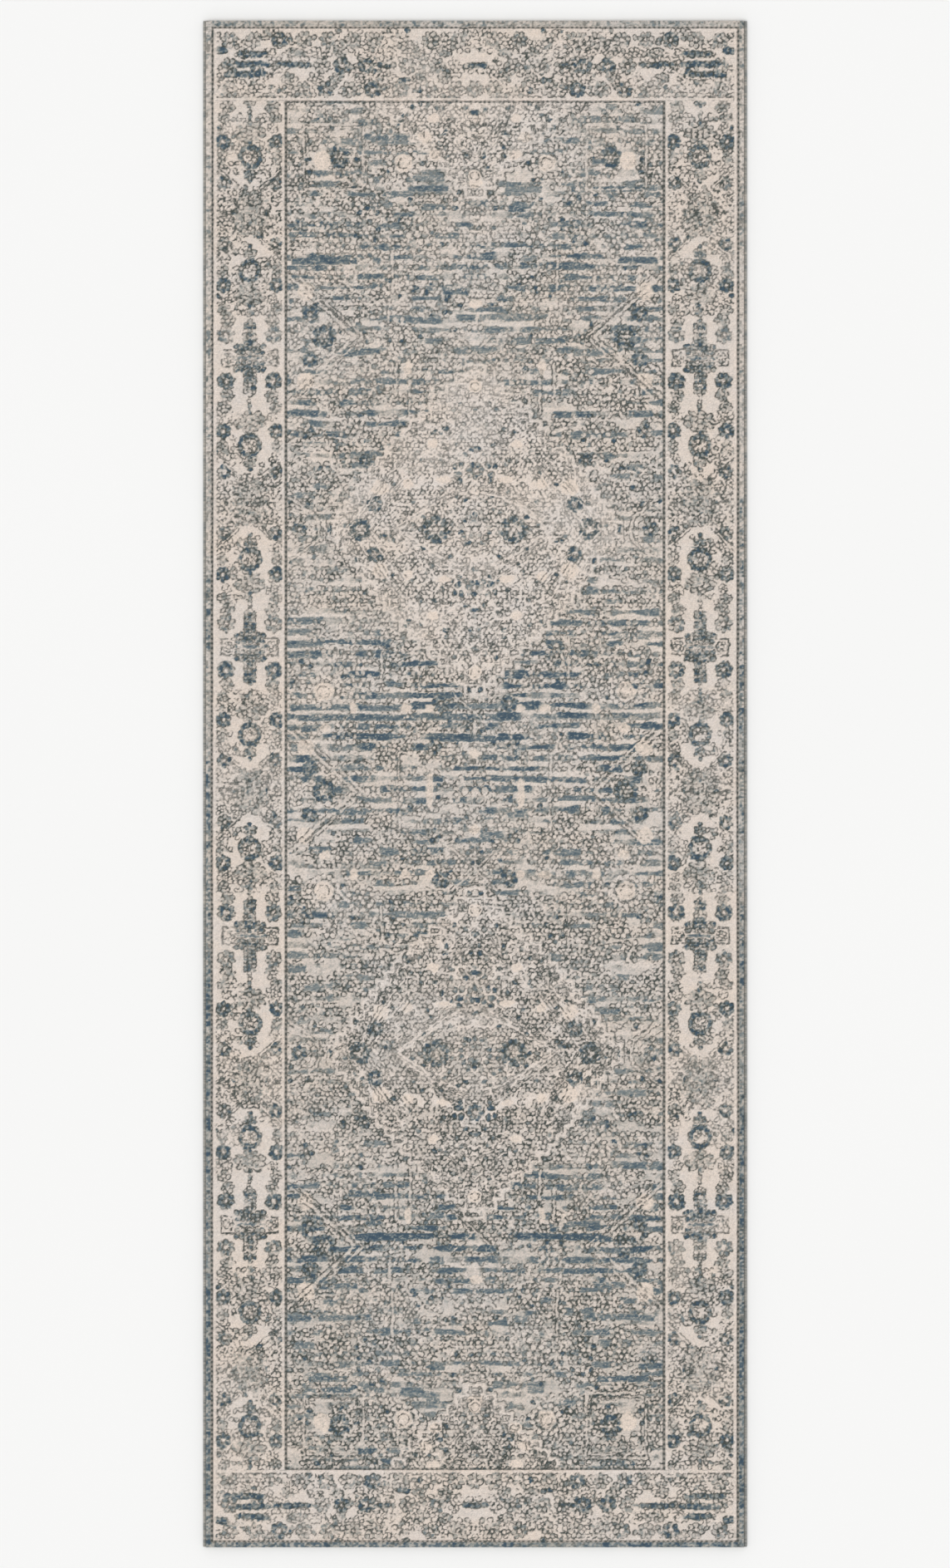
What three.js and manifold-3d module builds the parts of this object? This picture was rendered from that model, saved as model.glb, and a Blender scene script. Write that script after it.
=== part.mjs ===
// A machine-woven runner rug, lying flat with its pile up.
// Millimetres. +X is across the rug, +Y runs along it, +Z is up, and the origin is on the floor
// under the rug's centre.
//
// The ground weave is a thick cloth whose margin is woven thinner, with its underside stepped up.
// Everything that is sewn on underneath (end tapes, stitching, tacks) fits in that step, so that the
// rug lies on the middle of its cloth. The long edges are overcast over a cord, and the tufts
// stand on the cloth in three zones: the field, the main border and the narrow outer guard band.

import * as THREE from 'three';
import Module from 'manifold-3d';
import { mergeVertices } from 'three/addons/utils/BufferGeometryUtils.js';

const wasm = await Module();
wasm.setup();

// ---- Driving dimensions ------------------------------------------------------------------------

const RUG_WIDTH = 813; // over the overcast edges
const RUG_LENGTH = 2280; // from end to end

const CLEARANCE = 0.3; // between pieces that touch
const FLOOR_CLEARANCE = 0.1; // under the threads, which the soft cloth around them keeps off the floor

const CLOTH_THICKNESS = 2.8; // ground weave: warps, wefts and their stiffening
const PILE_HEIGHT = 6.4; // tufts above the cloth

const GUARD_SIDE = 10.2; // tufted guard band inside the overcast long edges
const GUARD_END = 11; // the same band across the two ends
const BORDER_SIDE = 110.5; // main border along the sides
const BORDER_TOP = 109; // main border across the top end
const BORDER_BOTTOM = 105; // and across the bottom end, where the pattern is cut a little shorter

const OVERCAST_WALL = 0.8; // thickness of the overcast yarn round the cord in each long edge
const OVERCAST_GRIP = 1.1; // how far the cloth's edge goes in between the overcasting's lips

const TAPE_WIDTH = 26; // tape sewn under each end
const TAPE_THICKNESS = 0.5;
const THREAD_DIAMETER = 0.4;
const STITCH_INSET = 4; // from the tape's long edges to its two rows of stitching
const TACK_WIDTH = 3; // bar tack over each end of a tape
const TACK_INSET = 2; // from the tape's own end to its tack
const TACK_MARGIN = 3; // from the tack's ends to the tape's long edges

const LABEL_WIDTH = 60; // blank care label sewn under one corner
const LABEL_LENGTH = 40;
const LABEL_THICKNESS = 0.3;
const LABEL_INSET = 45; // from the thick cloth's two edges to the label
const LABEL_SEAM = 3; // from the label's edge to its stitching

// ---- Sizes that follow from them ------------------------------------------------------------------

const halfWidth = RUG_WIDTH / 2;
const halfLength = RUG_LENGTH / 2;

const threadBottom = FLOOR_CLEARANCE;
const threadTop = threadBottom + THREAD_DIAMETER;
const tapeBottom = threadTop + CLEARANCE;
const marginBottom = tapeBottom + TAPE_THICKNESS + CLEARANCE; // the step is as deep as what it holds
const marginThickness = CLOTH_THICKNESS - marginBottom;

const cordHeight = marginBottom + marginThickness / 2;
const overcastRadius = cordHeight - FLOOR_CLEARANCE; // it reaches down nearly to the floor
const overcastBore = overcastRadius - OVERCAST_WALL;
const overcastLip = overcastBore + OVERCAST_GRIP; // inwards from the cord's centre
const overcastWidth = overcastRadius + overcastLip;
const cordRadius = overcastBore - CLEARANCE; // the cord fills the overcasting
const cordX = halfWidth - overcastRadius;

const marginHalfWidth = cordX - overcastBore;
const thickHalfWidth = halfWidth - overcastWidth - CLEARANCE;
const tapeHalfWidth = thickHalfWidth - CLEARANCE;
const thickHalfLength = halfLength - TAPE_WIDTH - 2 * CLEARANCE;
const tapeY = halfLength - CLEARANCE - TAPE_WIDTH / 2;

const pileBottom = CLOTH_THICKNESS + CLEARANCE;
const pileTop = pileBottom + PILE_HEIGHT;
const labelX = thickHalfWidth - LABEL_INSET - LABEL_WIDTH / 2;
const labelY = -thickHalfLength + LABEL_INSET + LABEL_LENGTH / 2;

// ---- Materials ----------------------------------------------------------------------------------

const yarn = (color, roughness = 0.95) =>
  new THREE.MeshStandardMaterial({ color, roughness, metalness: 0 });

const materials = {
  cloth: () => yarn(0xb8a98c),
  field: () => yarn(0x9aa3a1),
  border: () => yarn(0xd3c6b4),
  guard: () => yarn(0x8f9c9d),
  overcast: () => yarn(0xb9b2a6, 0.85),
  cord: () => yarn(0xc9bea6),
  tape: () => yarn(0xc4b89f, 0.9),
  thread: () => yarn(0xe2dccd, 0.7),
  label: () => yarn(0xece8df, 0.6),
};

// ---- Shape helpers --------------------------------------------------------------------------------

// A rectangle by its four sides.
function rectangle(left, bottom, right, top) {
  const points = [
    [left, bottom],
    [right, bottom],
    [right, top],
    [left, top],
  ];
  return new THREE.Shape(points.map(([x, y]) => new THREE.Vector2(x, y)));
}

function centred(halfX, halfY, x = 0, y = 0) {
  return rectangle(x - halfX, y - halfY, x + halfX, y + halfY);
}

// The outer rectangle with the inner one left out of it.
function frameOf(outer, inner) {
  outer.holes.push(new THREE.Path(inner.getPoints()));
  return outer;
}

// A plan shape as a slab between two heights.
function slab(shape, bottom, top) {
  const geometry = new THREE.ExtrudeGeometry(shape, { depth: top - bottom, bevelEnabled: false });
  return geometry.translate(0, 0, bottom);
}

// A section drawn across the rug (x, height), run along it between the two ends.
function runAlong(section, curveSegments = 10) {
  const geometry = new THREE.ExtrudeGeometry(section, {
    depth: RUG_LENGTH,
    bevelEnabled: false,
    curveSegments,
  });
  return geometry.rotateX(Math.PI / 2).translate(0, halfLength, 0);
}

function toSolid(geometry) {
  const bare = geometry.clone();
  bare.deleteAttribute('normal');
  bare.deleteAttribute('uv');
  const merged = mergeVertices(bare, 1e-4);
  return new wasm.Manifold(
    new wasm.Mesh({
      numProp: 3,
      vertProperties: Float32Array.from(merged.attributes.position.array),
      triVerts: Uint32Array.from(merged.index.array),
    }),
  );
}

function toGeometry(solid) {
  const { vertProperties, triVerts } = solid.getMesh();
  const geometry = new THREE.BufferGeometry();
  geometry.setAttribute('position', new THREE.BufferAttribute(vertProperties, 3));
  geometry.setIndex(new THREE.BufferAttribute(triVerts, 1));
  geometry.computeVertexNormals();
  return geometry;
}

// ---- The rug --------------------------------------------------------------------------------------

const rug = new THREE.Group();

function add(name, geometry, material) {
  const mesh = new THREE.Mesh(geometry, material());
  mesh.name = name;
  rug.add(mesh);
}

// Ground weave: a thick middle under a thin full-size sheet, with a shallow pocket for the label.
function groundWeave() {
  const sheet = toSolid(slab(centred(marginHalfWidth, halfLength), marginBottom, CLOTH_THICKNESS));
  const middle = toSolid(slab(centred(thickHalfWidth, thickHalfLength), 0, CLOTH_THICKNESS));
  const pocketTop = tapeBottom + LABEL_THICKNESS + CLEARANCE;
  const pocket = toSolid(
    slab(
      centred(LABEL_WIDTH / 2 + CLEARANCE, LABEL_LENGTH / 2 + CLEARANCE, labelX, labelY),
      -1,
      pocketTop,
    ),
  );
  add('ground_weave', toGeometry(sheet.add(middle).subtract(pocket)), materials.cloth);
}

// Three zones of tufts, each inside the one before and clear of it.
function pileZones() {
  const zone = (side, top, bottom) =>
    rectangle(-halfWidth + side, -halfLength + bottom, halfWidth - side, halfLength - top);
  const guardSide = overcastWidth + CLEARANCE;
  const borderSide = guardSide + GUARD_SIDE;
  const fieldSide = borderSide + BORDER_SIDE;
  const fieldTop = GUARD_END + BORDER_TOP;
  const fieldBottom = GUARD_END + BORDER_BOTTOM;

  const guard = frameOf(zone(guardSide, 0, 0), zone(borderSide, GUARD_END, GUARD_END));
  const border = frameOf(
    zone(borderSide + CLEARANCE, GUARD_END + CLEARANCE, GUARD_END + CLEARANCE),
    zone(fieldSide, fieldTop, fieldBottom),
  );
  const field = zone(fieldSide + CLEARANCE, fieldTop + CLEARANCE, fieldBottom + CLEARANCE);

  add('guard_pile', slab(guard, pileBottom, pileTop), materials.guard);
  add('border_pile', slab(border, pileBottom, pileTop), materials.border);
  add('field_pile', slab(field, pileBottom, pileTop), materials.field);
}

// The overcasting is a C in section: round outside the cord, with two lips that grip the cloth.
function overcastSection(side) {
  const mouth = marginThickness / 2 + CLEARANCE;
  const mouthAngle = Math.asin(mouth / overcastBore);
  const section = new THREE.Shape();
  section.moveTo(-overcastLip, -overcastRadius);
  section.lineTo(0, -overcastRadius);
  section.absarc(0, 0, overcastRadius, -Math.PI / 2, Math.PI / 2, false);
  section.lineTo(-overcastLip, overcastRadius);
  section.lineTo(-overcastLip, mouth);
  section.lineTo(-overcastBore * Math.cos(mouthAngle), mouth);
  section.absarc(0, 0, overcastBore, Math.PI - mouthAngle, -Math.PI + mouthAngle, true);
  section.lineTo(-overcastLip, -mouth);
  section.closePath();
  const place = ({ x, y }) => new THREE.Vector2(side * (cordX + x), cordHeight + y);
  return new THREE.Shape(section.getPoints(10).map(place));
}

function longEdge(side, name) {
  add(`overcast_edge_${name}`, runAlong(overcastSection(side)), materials.overcast);

  const cord = new THREE.Shape();
  cord.absarc(side * cordX, cordHeight, cordRadius, 0, 2 * Math.PI, false);
  add(`edge_cord_${name}`, runAlong(cord, 6), materials.cord);
}

// A tape under one end, its two rows of stitching, and a bar tack over each end of it.
function endTape(side, name) {
  const y = side * tapeY;
  const tape = centred(tapeHalfWidth, TAPE_WIDTH / 2, 0, y);
  add(`end_tape_${name}`, slab(tape, tapeBottom, tapeBottom + TAPE_THICKNESS), materials.tape);

  const rowHalfLength = tapeHalfWidth - TACK_INSET - TACK_WIDTH - CLEARANCE;
  const rowOffset = TAPE_WIDTH / 2 - STITCH_INSET;
  for (const [row, offset] of [['outer', rowOffset], ['inner', -rowOffset]]) {
    const thread = centred(rowHalfLength, THREAD_DIAMETER / 2, 0, y + side * offset);
    add(`end_stitching_${name}_${row}`, slab(thread, threadBottom, threadTop), materials.thread);
  }

  const tackX = tapeHalfWidth - TACK_INSET - TACK_WIDTH / 2;
  for (const [hand, x] of [['left', -tackX], ['right', tackX]]) {
    const tack = centred(TACK_WIDTH / 2, TAPE_WIDTH / 2 - TACK_MARGIN, x, y);
    add(`corner_tack_${name}_${hand}`, slab(tack, threadBottom, threadTop), materials.thread);
  }
}

function careLabel() {
  const label = centred(LABEL_WIDTH / 2, LABEL_LENGTH / 2, labelX, labelY);
  add('care_label', slab(label, tapeBottom, tapeBottom + LABEL_THICKNESS), materials.label);

  const seam = (inset) =>
    centred(LABEL_WIDTH / 2 - inset, LABEL_LENGTH / 2 - inset, labelX, labelY);
  const stitching = frameOf(seam(LABEL_SEAM), seam(LABEL_SEAM + THREAD_DIAMETER));
  add('care_label_stitching', slab(stitching, threadBottom, threadTop), materials.thread);
}

groundWeave();
pileZones();
longEdge(-1, 'left');
longEdge(1, 'right');
endTape(1, 'top');
endTape(-1, 'bottom');
careLabel();

export default rug;
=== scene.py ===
"""The looks of a machine-woven runner rug: high and low pile in a worn medallion design.

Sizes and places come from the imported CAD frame. Lengths are in metres in the meshes, and in
millimetres of rug in the design, with x across the rug, y along it and z up out of the pile.
"""
from functools import partial

import bpy
import numpy as np
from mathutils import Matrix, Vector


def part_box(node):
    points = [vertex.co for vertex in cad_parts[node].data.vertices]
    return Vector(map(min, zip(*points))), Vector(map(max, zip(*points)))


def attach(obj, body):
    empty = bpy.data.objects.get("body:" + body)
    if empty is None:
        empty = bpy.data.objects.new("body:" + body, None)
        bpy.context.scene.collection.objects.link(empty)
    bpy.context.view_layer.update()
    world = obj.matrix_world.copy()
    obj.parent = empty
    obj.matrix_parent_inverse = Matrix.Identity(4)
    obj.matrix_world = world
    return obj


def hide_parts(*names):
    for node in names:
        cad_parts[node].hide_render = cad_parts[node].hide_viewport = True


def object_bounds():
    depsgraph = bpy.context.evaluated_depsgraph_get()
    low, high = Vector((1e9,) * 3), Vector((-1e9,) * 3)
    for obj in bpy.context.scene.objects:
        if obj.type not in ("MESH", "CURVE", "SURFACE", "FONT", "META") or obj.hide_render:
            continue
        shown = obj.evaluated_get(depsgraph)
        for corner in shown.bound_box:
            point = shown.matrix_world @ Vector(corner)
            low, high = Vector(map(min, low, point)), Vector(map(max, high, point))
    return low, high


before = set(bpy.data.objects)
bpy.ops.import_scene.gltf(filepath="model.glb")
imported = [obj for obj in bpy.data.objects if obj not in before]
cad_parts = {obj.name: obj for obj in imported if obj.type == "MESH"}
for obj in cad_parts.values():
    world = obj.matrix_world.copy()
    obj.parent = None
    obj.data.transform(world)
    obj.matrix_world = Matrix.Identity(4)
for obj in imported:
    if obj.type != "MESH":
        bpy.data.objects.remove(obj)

CAD_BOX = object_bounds()
MM = 0.001


def node_box(node):
    """A CAD node's lowest and highest corner, in millimetres."""
    low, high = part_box(node)
    return np.array(low) / MM, np.array(high) / MM


GAP = 0.3  # between pieces that touch
field_low, field_high = node_box("field_pile")
border_low, border_high = node_box("border_pile")
guard_low, guard_high = node_box("guard_pile")

# Where the design's zones part, halfway across the gaps between their piles.
FIELD_HALF = field_high[0] + GAP / 2
FIELD_TOP, FIELD_BOTTOM = field_high[1] + GAP / 2, field_low[1] - GAP / 2
BORDER_HALF = border_high[0] + GAP / 2
BORDER_TOP_AT, BORDER_BOTTOM_AT = border_high[1] + GAP / 2, border_low[1] - GAP / 2

# ------------------------------------------------------------------ the design
# Everything here is in millimetres of rug. The design is drawn once for a quarter of the rug, as woven
# cells with outlines, and is mirrored. The streaks of worn colour are drawn after it and aren't mirrored.
PITCH = 1.2  # of the drawing's own grid
OVERLAP = 6  # how far that grid reaches over the mirror lines
FAR = 99.0  # stands for the distance to something that isn't drawn
HALF_U = 394.0  # the drawing's width, from the rug's middle line
STRIP = 1075.0  # where the end border's strip starts in the same drawing
STRIP_HEIGHT = 112.0
CREAM, GREY, HAZE, BLUE, NAVY = 0.0, 0.30, 0.52, 0.78, 1.0  # places on the yarn's colour ramp
NOISE_TABLE = 256  # random values along each side of a noise's table, after which they repeat
NOISE_START = 1000  # cells added to a place, so that it stays above 0


def smooth_step(low, high, value):
    t = np.clip((value - low) / (high - low), 0, 1)
    return t * t * (3 - 2 * t)


def value_noise(x, y, cell_x, cell_y, seed):
    """Smooth seeded noise from 0 to 1, with one random value for each cell of that size."""
    table = np.random.default_rng(seed).random((NOISE_TABLE, NOISE_TABLE))
    gx, gy = x / cell_x + NOISE_START, y / cell_y + NOISE_START
    ix, iy = np.floor(gx).astype(int), np.floor(gy).astype(int)
    fx, fy = gx - ix, gy - iy
    fx = fx * fx * (3 - 2 * fx)
    fy = fy * fy * (3 - 2 * fy)
    left, right = ix % NOISE_TABLE, (ix + 1) % NOISE_TABLE
    below, above = iy % NOISE_TABLE, (iy + 1) % NOISE_TABLE
    low = table[left, below] * (1 - fx) + table[right, below] * fx
    high = table[left, above] * (1 - fx) + table[right, above] * fx
    return low * (1 - fy) + high * fy


class Drawing:
    """Signed distances to what is drawn, on a grid: u runs out from the middle line, v along the rug."""

    def __init__(self):
        self.u = np.arange(-OVERLAP, HALF_U + 8, PITCH)
        self.v = np.arange(-OVERLAP, STRIP + STRIP_HEIGHT + 12, PITCH)
        shape = (len(self.v), len(self.u))
        self.near = np.full(shape, FAR)  # to the nearest cell's edge, negative inside it
        self.second = np.full(shape, FAR)  # to the next nearest
        self.tone = np.zeros(shape)  # the nearest cell's yarn
        self.loose = np.zeros(shape)  # 1 where that cell only fills in, and a streak may cover it
        self.dark = np.full(shape, FAR)  # to the nearest dark line
        self.light = np.full(shape, FAR)  # to the nearest light line
        self.plain = np.full(shape, FAR)  # to the nearest plain patch
        self.blot = np.full(shape, FAR)  # to the nearest patch where the dye ran together
        self.rng = np.random.default_rng(20)

    def window(self, u, v, reach):
        """The grid's part within reach of a point and its offsets from there, or None three times."""
        a = np.searchsorted(self.u, [u - reach, u + reach])
        b = np.searchsorted(self.v, [v - reach, v + reach])
        if a[0] == a[1] or b[0] == b[1]:
            return None, None, None
        cut = np.s_[b[0]:b[1], a[0]:a[1]]
        return cut, self.u[a[0]:a[1]][None, :] - u, self.v[b[0]:b[1]][:, None] - v

    def wipe(self, cut):
        """Clears a part of the drawing."""
        for store in (self.near, self.second, self.dark, self.light, self.plain, self.blot):
            store[cut] = FAR

    def cell(self, u, v, a, b=None, turn=0.0, tone=CREAM, loose=0.0):
        """An elliptical cell of woven pile, and its mirror images where it reaches over a mirror line."""
        b = a if b is None else b
        reach = max(a, b) + 5
        spots = [(u, v, turn)]
        if 0.5 < u < reach:
            spots.append((-u, v, -turn))
        if 0.5 < v < reach:
            spots += [(s[0], -v, -s[2]) for s in spots]
        for su, sv, angle in spots:
            cut, du, dv = self.window(su, sv, reach)
            if cut is None:
                continue
            c, s = np.cos(angle), np.sin(angle)
            d = (np.hypot((du * c + dv * s) / a, (dv * c - du * s) / b) - 1) * min(a, b)
            near = self.near[cut]
            closer = d < near
            self.second[cut] = np.where(closer, near, np.minimum(self.second[cut], d))
            self.near[cut] = np.where(closer, d, near)
            self.tone[cut] = np.where(closer, tone, self.tone[cut])
            self.loose[cut] = np.where(closer, loose, self.loose[cut])

    def line(self, points, width, kind):
        """A dark or light line through points."""
        store = self.dark if kind == "dark" else self.light
        for (u0, v0), (u1, v1) in zip(points[:-1], points[1:]):
            eu, ev = (u1 - u0) / 2, (v1 - v0) / 2
            reach = max(abs(eu), abs(ev)) + width + 6
            cut, du, dv = self.window((u0 + u1) / 2, (v0 + v1) / 2, reach)
            if cut is None:
                continue
            t = np.clip((du * eu + dv * ev) / (eu * eu + ev * ev + 1e-9), -1, 1)
            d = np.hypot(du - t * eu, dv - t * ev) - width / 2
            store[cut] = np.minimum(store[cut], d)

    def path(self, v0, way, points, width, kind):
        """A line through points that lie up (way 1) or down (way -1) from v0."""
        self.line([(u, v0 + way * v) for u, v in points], width, kind)

    def patch(self, u, v, a, b=None, blot=False):
        """A plain patch with no cells drawn in it, or a blot where the dye ran together."""
        b = a if b is None else b
        store = self.blot if blot else self.plain
        for su in (u, -u) if u < a else (u,):
            cut, du, dv = self.window(su, v, max(a, b) + 8)
            if cut is None:
                continue
            d = (np.hypot(du / a, dv / b) - 1) * min(a, b)
            store[cut] = np.minimum(store[cut], d)

    # ---------------------------------------------------------- motifs
    def petals(self, u, v, radius, count, a, b, tone, phase=0.0, other=None):
        """A ring of cells, in two yarns by turns where another is given."""
        for k in range(count):
            angle = 2 * np.pi * (k + phase) / count
            t = other if other is not None and k % 2 else tone
            self.cell(u + radius * np.cos(angle), v + radius * np.sin(angle), a, b, angle, t)

    def rosette(self, u, v, r, tone=CREAM, heart=CREAM, other=None):
        """A flower: a ring of petals round a heart, with a second ring inside it where it is large."""
        self.cell(u, v, max(3.0, 0.17 * r), tone=heart)
        for k in range(6) if tone == NAVY else ():
            angle = np.pi * (k + 0.5) / 3
            self.patch(u + 0.66 * r * np.cos(angle), v + 0.66 * r * np.sin(angle), 0.30 * r, blot=True)
        if r < 15:
            self.petals(u, v, 0.66 * r, 7, 0.33 * r, 0.29 * r, tone, 0.25, other)
            return
        self.petals(u, v, 0.40 * r, 6, 0.17 * r, 0.17 * r, heart, 0.0, GREY)
        count = 2 * max(4, int(np.pi * 0.80 * r / 8.6))
        self.petals(u, v, 0.80 * r, count, 4.2, 3.7, tone, 0.5, other)

    def ringed(self, u, v, r, tone=CREAM):
        """A flower drawn as rings inside each other."""
        self.cell(u, v, 0.17 * r, tone=tone)
        turn = np.linspace(0, 2 * np.pi, 25)
        for share in (0.34, 0.62):
            ring = zip(u + share * r * np.cos(turn), v + share * r * np.sin(turn))
            self.line(list(ring), 1.3, "dark")
        self.petals(u, v, 0.84 * r, max(8, int(0.62 * r)), 0.17 * r, 0.17 * r, tone)
        self.patch(u, v, 0.55 * r)

    def leaves(self, u, v, a, b, turn=0.0, tone=CREAM):
        """A spray of small leaves that fills an ellipse."""
        spots = [(0.0, 0.0)] + [(0.72, k / 6 + 0.08) for k in range(6)]
        if a * b > 95:
            spots += [(1.25, k / 9) for k in range(9)]
        for reach, part in spots:
            angle = 2 * np.pi * part
            p, q = reach * a * np.cos(angle), reach * b * np.sin(angle)
            c, s = np.cos(turn), np.sin(turn)
            wobble = self.rng.normal(0, 0.5, 2)
            size = self.rng.uniform(0.9, 1.15)
            self.cell(u + p * c - q * s + wobble[0], v + p * s + q * c + wobble[1],
                      max(3.0, 0.40 * a) * size, max(2.7, 0.34 * b) * size,
                      turn + self.rng.uniform(-0.6, 0.6), tone)

    def mosaic(self, u, v, a, b, tones, size=3.3):
        """Small cells in yarns picked from tones, which fill an ellipse, alike on both sides of it."""
        for row in range(-int(b / size / 0.8), int(b / size / 0.8) + 1):
            for place in range(0, int(a / size / 0.9) + 1):
                p, q = (place + 0.5 * (row % 2)) * 1.9 * size, row * 1.55 * size
                if np.hypot(p / a, q / b) > 1.02:
                    continue
                tone = tones[self.rng.integers(len(tones))]
                turn = self.rng.normal(0, 0.4)
                shift = self.rng.uniform(-0.6, 0.6, 2)
                for side in (1, -1) if p else (1,):
                    out = side * (p + shift[0])
                    self.cell(u + out, v + q + shift[1], size, size * 0.82, side * turn, tone)


# ---- the side border
BORDER_MIDDLE = 336.0  # its middle line, from the rug's
REPEAT = 431.3  # from one spray to the next along it


def border_ball(d, u, v, r):
    """A round motif: dark at its top and bottom, paler at its sides."""
    for k in range(12):
        angle = 2 * np.pi * (k + 0.5) / 12
        tone = NAVY if abs(np.sin(angle)) > 0.6 else HAZE if k % 2 else BLUE
        d.cell(u + 0.82 * r * np.cos(angle), v + 0.82 * r * np.sin(angle), 3.4, 4.2, angle, tone)
    d.petals(u, v, 0.44 * r, 7, 3.1, 2.8, CREAM, 0.2, GREY)
    d.cell(u, v, 2.8, tone=CREAM)
    for way in (-1, 1):
        d.patch(u, v + way * 0.78 * r, 0.62 * r, 0.24 * r, blot=True)
        d.patch(u + way * 0.8 * r, v, 0.18 * r, 0.3 * r, blot=True)


DEEP = (NAVY, BLUE, HAZE, GREY)
MIXED = (NAVY, HAZE, GREY, HAZE, CREAM)
STALK_ROWS = (17, 14, 11, 10, 9, 9, 8, 7, 5)  # half widths of the palmette's stalk, going out


def border_palmette(d, u, v, way):
    """Half of the cross palmette: half of its arms, which end in boxes, and one stalk."""
    for side in (-1, 1):
        if way > 0:
            d.rosette(u + side * 32, v, 8.5, CREAM, CREAM, GREY)
        near, far = u + side * 20, u + side * 42
        d.path(v, -way, [(near, 12), (far, 12), (far, 0)], 3.0, "dark")
        d.path(v, -way, [(u + side * 3, 3.6), (u + side * 22, 3.6)], 1.3, "dark")
        d.cell(u + side * 18, v - way * 8, 4.2, 3.2, tone=BLUE)
        d.cell(u + side * 10, v - way * 8, 4.2, 3.0, tone=HAZE)
        d.cell(u + side * 20, v - way * 17.5, 4.6, 3.6, 0.4 * side * way, NAVY)
    d.cell(u, v - way * 7, 3.6, 2.8, tone=HAZE)
    for k, half in enumerate(STALK_ROWS):
        d.mosaic(u, v - way * (14 + 5.2 * k), half, 3.2, DEEP if k % 3 < 2 else MIXED)
    d.mosaic(u, v - way * 64, 4.4, 7, (CREAM, HAZE))
    for along, half_wide, half_high in ((13, 14, 3.0), (24, 6, 4)):
        d.patch(u, v - way * along, half_wide, half_high, blot=True)
    d.patch(u, v, 22, 2.4, blot=True)


def border_spray(d, u, v):
    """The dense spray of leaves between two round flowers, across the border's whole width."""
    for side in (-1, 1):
        for way in (-1, 1):
            d.leaves(u + side * 13, v + way * 10, 11, 10, 0.8 * side * way, GREY)
            d.leaves(u + side * 35, v + way * 9, 12, 9, -0.5 * side * way, CREAM)
            d.leaves(u + side * 25, v + way * 25, 10, 7, 0.5 * side * way, CREAM)
            d.leaves(u + side * 9, v + way * 28, 8, 6, 0.2, GREY)
            d.leaves(u + side * 46, v + way * 26, 6, 8, 0.0, CREAM)
        d.cell(u + side * 24, v, 3.4, 5.0, tone=NAVY)
        d.cell(u + side * 4.0, v, 2.4, 8, tone=HAZE)
        d.cell(u + side * 44, v, 4.4, 3.2, tone=GREY)
    for way in (-1, 1):
        d.cell(u, v + way * 15, 3.4, 4.4, tone=BLUE)


def side_border(d):
    """The border along a long edge: its repeats, each drawn both ways from a spray."""
    u0 = BORDER_MIDDLE
    for n in range(-1, 4):
        for way in (-1, 1):
            def at(distance, n=n, way=way):
                return n * REPEAT + way * distance

            for side in (-1, 1):
                def out(distance, side=side):
                    return u0 + side * distance

                d.rosette(out(40), at(107), 12.0, NAVY, CREAM, BLUE)
                d.leaves(out(41), at(84), 8, 10, tone=GREY)
                d.leaves(out(38), at(66), 9, 7, 0.5 * side, CREAM)
                d.rosette(out(38), at(46), 11.5, HAZE, CREAM, NAVY)
                d.rosette(out(35.5), at(181), 13.5, NAVY if way > 0 else HAZE, CREAM, HAZE)
                d.leaves(out(33), at(160), 10, 9, 0.6 * side * way, GREY)
                d.leaves(out(39), at(143), 9, 8, 0.2, GREY)
                d.leaves(out(34), at(128), 7, 6, 0.2, CREAM)
                d.line([(out(51), at(70)), (out(16), at(38))], 2.0, "light")
                d.line([(out(53), at(66)), (out(19), at(34))], 1.2, "dark")
            border_ball(d, u0, at(85), 17.5)
            d.leaves(u0, at(59), 9, 7, tone=HAZE)
            d.cell(u0, at(49), 3.4, 3.0, tone=NAVY)
            d.cell(u0, at(106), 3.2, 3.4, tone=BLUE)
            d.leaves(u0, at(121), 15, 10, tone=GREY)
            d.cell(u0, at(135), 3.6, 4.6, tone=BLUE)
            d.cell(u0, at(145), 3.0, 5.0, tone=HAZE)
            border_palmette(d, u0, at(REPEAT / 2), way)
        border_spray(d, u0, n * REPEAT)


# ---- the field
MEDALLION = [(0, 247), (30, 218), (54, 190), (98, 150), (123, 123), (158, 82), (194, 28), (218, 0)]
STAIR = 14  # about how high and wide the steps of its outline are
MEDALLION_AT = 391.0
END_MEDALLION_AT = 1133.0
CARTOUCHES_AT = (0, 679)
# (share of the outline's size, kind, width) of its own lines and of those nested at its side
OUTLINES = ((1.0, "light", 5.2), (0.94, "light", 2.0), (0.91, "dark", 0.9))
NESTED = ((0.87, "light", 2.2), (0.82, "dark", 1.2), (0.76, "light", 2.2), (0.71, "dark", 1.0))
# (how far outside the first, kind, width) of the lens's lines
LENS = ((0, "light", 3.4), (8, "light", 2.0), (14, "dark", 0.9), (19, "dark", 0.9), (24, "dark", 0.9))


def stepped(points, step):
    """The same line as a stair."""
    stair = [points[0]]
    for (u0, v0), (u1, v1) in zip(points[:-1], points[1:]):
        count = max(1, round(max(abs(u1 - u0), abs(v1 - v0)) / step))
        for k in range(count):
            after = u0 + (u1 - u0) * (k + 1) / count, v0 + (v1 - v0) * (k + 1) / count
            stair += [(after[0], stair[-1][1]), after]
    return stair


def medallion_half_width(along):
    """Half the medallion's width that far from its middle."""
    points = np.array(stepped(MEDALLION, STAIR), float)[::-1]
    return np.interp(along, points[:, 1], points[:, 0], right=-1)


def both_ends(points):
    """A line and its mirror image, as one."""
    return points + [(u, -v) for u, v in points[::-1][1:]]


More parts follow.
